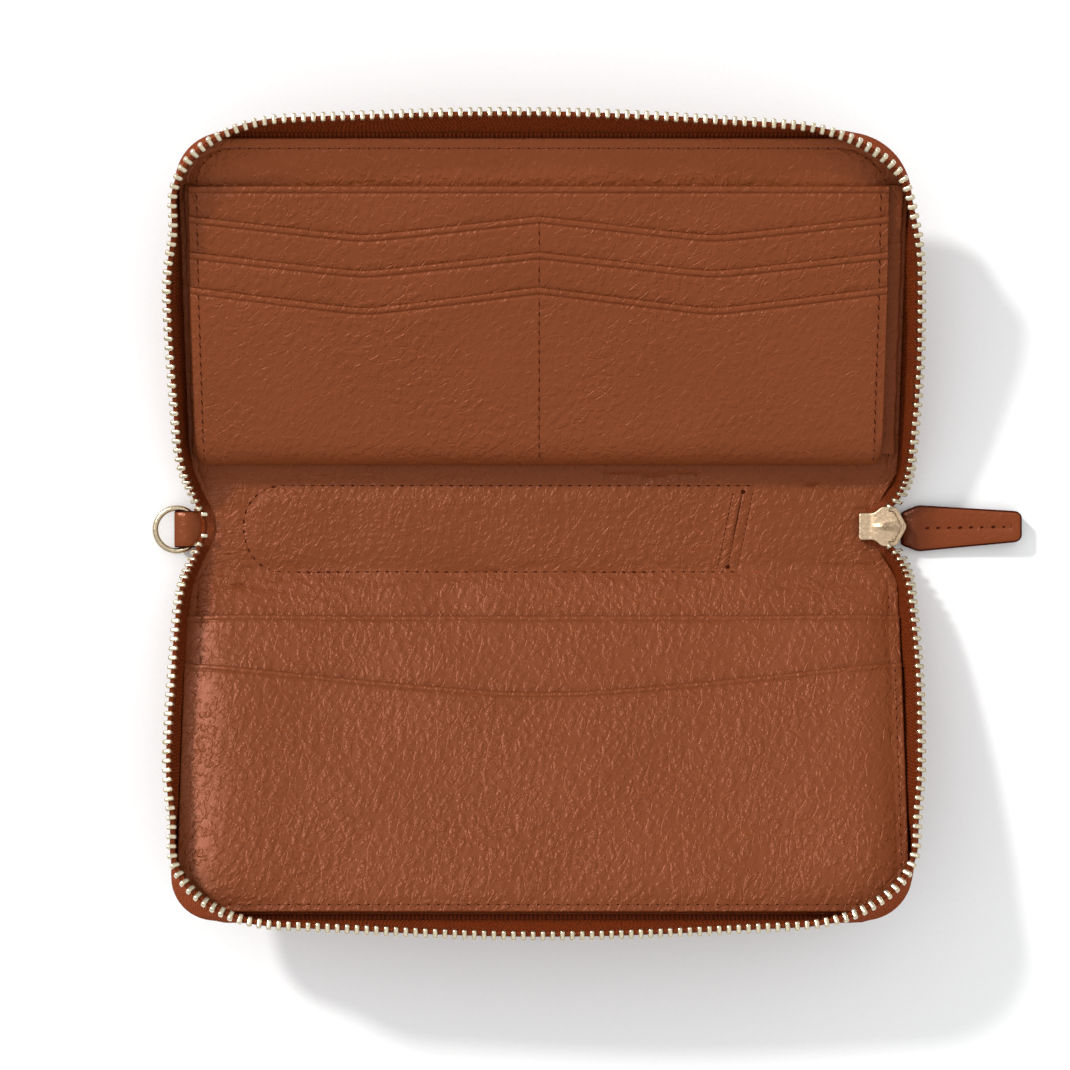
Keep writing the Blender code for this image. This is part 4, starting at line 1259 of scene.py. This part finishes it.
def pull_outline(low, start, end):
    """Half width of the pull along x: a blunt root, widest near the link, and a rounded tip."""
    stations = [(start, 4.2), (start + 0.8, 4.8), (low[0] + 2.5, 6.3), (end - PULL_TIP, PULL_END_HALF)]
    for turn in np.radians(np.linspace(0, 90, 9)[1:]):
        stations.append((end - PULL_TIP + PULL_TIP * math.sin(turn),
                         PULL_END_HALF - PULL_END_ROUND + PULL_END_ROUND * math.cos(turn)))
    return through(stations)


def build_pull_leaf(name, seed, front):
    low, high = world_box(name)
    start, end = low[0] - 2.0, high[0]
    half = pull_outline(low, start, end)
    thread_start, thread_end = low[0] + 3.4, end - 3.2
    soup = Soup()

    def middle_line(x):
        return -0.55 * (end - np.asarray(x, float)) / (end - start)

    def shape(x, y, gaps):
        total = PULL_ARCH * np.clip((x - start) / (end - start), 0, 1) ** 1.6
        total = total - PULL_TURN_DOWN * smooth((1.3 - gaps["edge"]) / 1.3)
        if front:
            on_row = smooth((x - thread_start + 1) / 1.0) * smooth((thread_end + 1 - x) / 1.0)
            total = total + on_row * groove(y - middle_line(x), 0.9, 0.22)
            over_link = smooth((start + 9 - x) / 9) * smooth((x - low[0]) / 2.5) * np.exp(-((y / 3.4) ** 2))
            total = total + 0.35 * over_link - 0.5 * smooth((low[0] + 1.2 - x) / 3.0)
        return total

    height = sheet(soup, start, end, lambda x: middle_line(x) - half(x), lambda x: middle_line(x) + half(x),
                   low[2], high[2], edge_slot=PULL_EDGE, step=0.9, radius=0.3, shape=shape, seed=seed,
                   wobble=0.8, border=0.42)
    if front:
        row = [(x, float(middle_line(x))) for x in (thread_start, thread_end)]
        seam(soup, row, height, pitch=2.78, lean=14, size=1.05, hole=(1.15, 0.7))
        across = [(thread_end + 0.3, row[1][1] + offset) for offset in (-0.9, 0.9)]
        seam(soup, across, height, pitch=1.8, size=0.8, hole=(1.0, 0.3))
    soup.piece(name + "_leaf", ["pull", "thread", "hole", "edge"], [name], "pull", sharp=50)


# ------------------------ D-ring and its tab

RING_SHIFT, TAB_SHIFT, TAB_WIDER = -0.8, -0.75, 0.9
TAB_WALL = 0.72
# The tab's upper leaf after the fold: (x, share of the fold's radius, extra height) above the ring's middle.
TAB_CREST = ((-97.7, 1.0, 0.3), (-96.5, 1.0, 0.42), (-95.3, 1.0, 0.1), (-94.2, 0.74, 0.0), (-92.8, 0.46, 0.0),
             (-91.2, 0.0, 0.36))


def build_ring():
    low, high = world_box("d_ring")
    wire = (high[2] - low[2]) / 2
    z = (high[2] + low[2]) / 2
    bar_x = high[0] - wire
    radius = (high[1] - low[1]) / 2 - wire
    arc_x = low[0] + wire + radius
    opening = math.degrees(math.acos((bar_x - arc_x) / radius)) + 4
    outline = circle_arc(arc_x, 0, radius, radius, opening, 360 - opening, 48)
    reach = outline[0][1] - 0.5
    outline += [(bar_x, y) for y in np.linspace(-reach, reach, 12)]
    soup = Soup()
    tube(soup, [(x, y + RING_SHIFT, z) for x, y in outline], wire, sides=20, closed=True)
    obj = soup.piece("ring_wire", ["ring"], ["d_ring"], "d_ring", sharp=60)
    obj.visible_shadow = False


def build_tab():
    """The leather loop: a lower leaf, a fold round the ring's bar, and an upper leaf with a crest."""
    low, high = world_box("d_ring_tab")
    ring_low, ring_high = world_box("d_ring")
    z = (ring_low[2] + ring_high[2]) / 2
    radius = (high[2] - low[2]) / 2 - TAB_WALL / 2
    fold_x = low[0] + TAB_WALL / 2 + radius
    path = [(high[0], z - 0.35), (-91.4, z - 0.36), (-93.6, z - radius * 0.9), (-95.4, z - radius)]
    path += circle_arc(fold_x, z, radius, radius, 270, 90, 20)
    path += [(x, z + radius * share + extra) for x, share, extra in TAB_CREST] + [(high[0], z + 0.35)]
    width = high[1] - low[1] + TAB_WIDER
    across = spaced(width, [0, 0.1, 0.25, 0.5, 0.9], 0.8)
    edge = np.minimum(across, width - across)
    thickness = TAB_WALL - 2 * rounded(edge, 0.3) * 0.9
    ys = across - width / 2 + (low[1] + high[1]) / 2 + TAB_SHIFT
    sink = 0.6 * (1 - np.clip(edge / 1.4, 0, 1)) ** 2
    grid = [[(x, y, h - drop * (1 if h > z else -1)) for y, drop in zip(ys, sink)]
            for x, h in smooth_path(resampled(path, 0.35), 2)]
    soup = Soup()
    ribbon(soup, grid, np.tile(thickness, (len(grid), 1)), edge_slot=1, border=3)
    soup.piece("ring_tab_loop", ["tab", "edge"], ["d_ring_tab"], "spine",
               sharp=50)


# ------------------------ floor, light, camera

FLOOR_REACH, FLOOR_Z = 3.0, -0.0001
CAMERA_AT, FOCAL_LENGTH, SENSOR_WIDTH = (-0.0023, -0.0023, 0.8), 98.8, 36.0


def build_floor():
    mesh = bpy.data.meshes.new("floor")
    corners = [(x * FLOOR_REACH, y * FLOOR_REACH, FLOOR_Z)
               for x, y in ((-1, -1), (1, -1), (1, 1), (-1, 1))]
    mesh.from_pydata(corners, [], [(0, 1, 2, 3)])
    floor = bpy.data.objects.new("floor", mesh)
    bpy.context.scene.collection.objects.link(floor)
    n = Material("studio_paper")
    fibre = n.noise(n.coordinate("Object"), 900.0)
    n.set("Base Color", n.mix(fibre, srgb(243, 243, 243), srgb(248, 248, 248)))
    n.set("Roughness", 0.9)
    n.set("Specular IOR Level", 0.1)
    mesh.materials.append(n.material)


def build_sun(name, energy, angle, direction):
    sun = bpy.data.lights.new(name, "SUN")
    sun.energy, sun.angle = energy, math.radians(angle)
    lamp = bpy.data.objects.new(name, sun)
    bpy.context.scene.collection.objects.link(lamp)
    lamp.rotation_euler = Vector(direction).to_track_quat("-Z", "Y").to_euler()
    return lamp


def build_world():
    """An even white room, which reflections see as darker near the horizon."""
    world = bpy.data.worlds.new("studio")
    world.use_nodes = True
    background = world.node_tree.nodes["Background"]
    background.inputs["Color"].default_value = (0.985, 0.995, 1.0, 1.0)
    n = Nodes(world.node_tree)
    rise = n.add("ShaderNodeSeparateXYZ", {0: n.coordinate("Generated")}).outputs[2]
    dimmed = n.remap(rise, 0.1, 0.8, 0.25, 1.0)
    reflected = n.add("ShaderNodeLightPath").outputs["Is Glossy Ray"]
    share = n.add("ShaderNodeMix", {0: reflected, 2: 1.0, 3: dimmed})
    n.feed(background.inputs["Strength"], n.times(share, 0.95))
    bpy.context.scene.world = world


def build_camera():
    lens = bpy.data.cameras.new("camera")
    lens.lens, lens.sensor_width, lens.clip_start = FOCAL_LENGTH, SENSOR_WIDTH, 0.01
    camera = bpy.data.objects.new("camera", lens)
    camera.location = CAMERA_AT
    bpy.context.scene.collection.objects.link(camera)
    bpy.context.scene.camera = camera
    bpy.context.scene.view_settings.view_transform = "Standard"
    bpy.context.scene.view_settings.look = "None"


# ------------------------ build everything

for node, key in (("lower_stiffener", "board"), ("upper_stiffener", "board"), ("pen_sleeve_backing", "board"),
                  ("zip_bottom_stop", "gold")):
    hidden = frame["nodes"][node].data
    hidden.materials.clear()
    hidden.materials.append(MATERIALS[key])

for half_side in (LOWER, UPPER):
    tape_lines = zip_lines(half_side)
    build_cover(half_side)
    build_lining(half_side)
    build_tape(half_side, *tape_lines)
    build_teeth(half_side, *tape_lines)
    build_top_stop(half_side)
build_slip_pocket("rear_slip_pocket", 0.0, 7, "rear")
build_slip_pocket("front_slip_pocket", 8.1, 9, "front")
build_block()
build_gusset("left_gusset", -1)
build_gusset("right_gusset", 1)
build_slider()
build_bail()
build_link()
build_pull_leaf("pull_back_leather", 61, front=False)
build_pull_leaf("pull_front_leather", 62, front=True)
build_ring()
build_tab()
build_floor()
build_sun("window_sun", 1.95, 6.0, (1.05, -0.97, -1.0)).data.color = (1.0, 0.995, 0.985)
build_sun("soft_box", 1.9, 24.0, (0.62, -0.5, -1.0)).visible_diffuse = False
build_world()
build_camera()
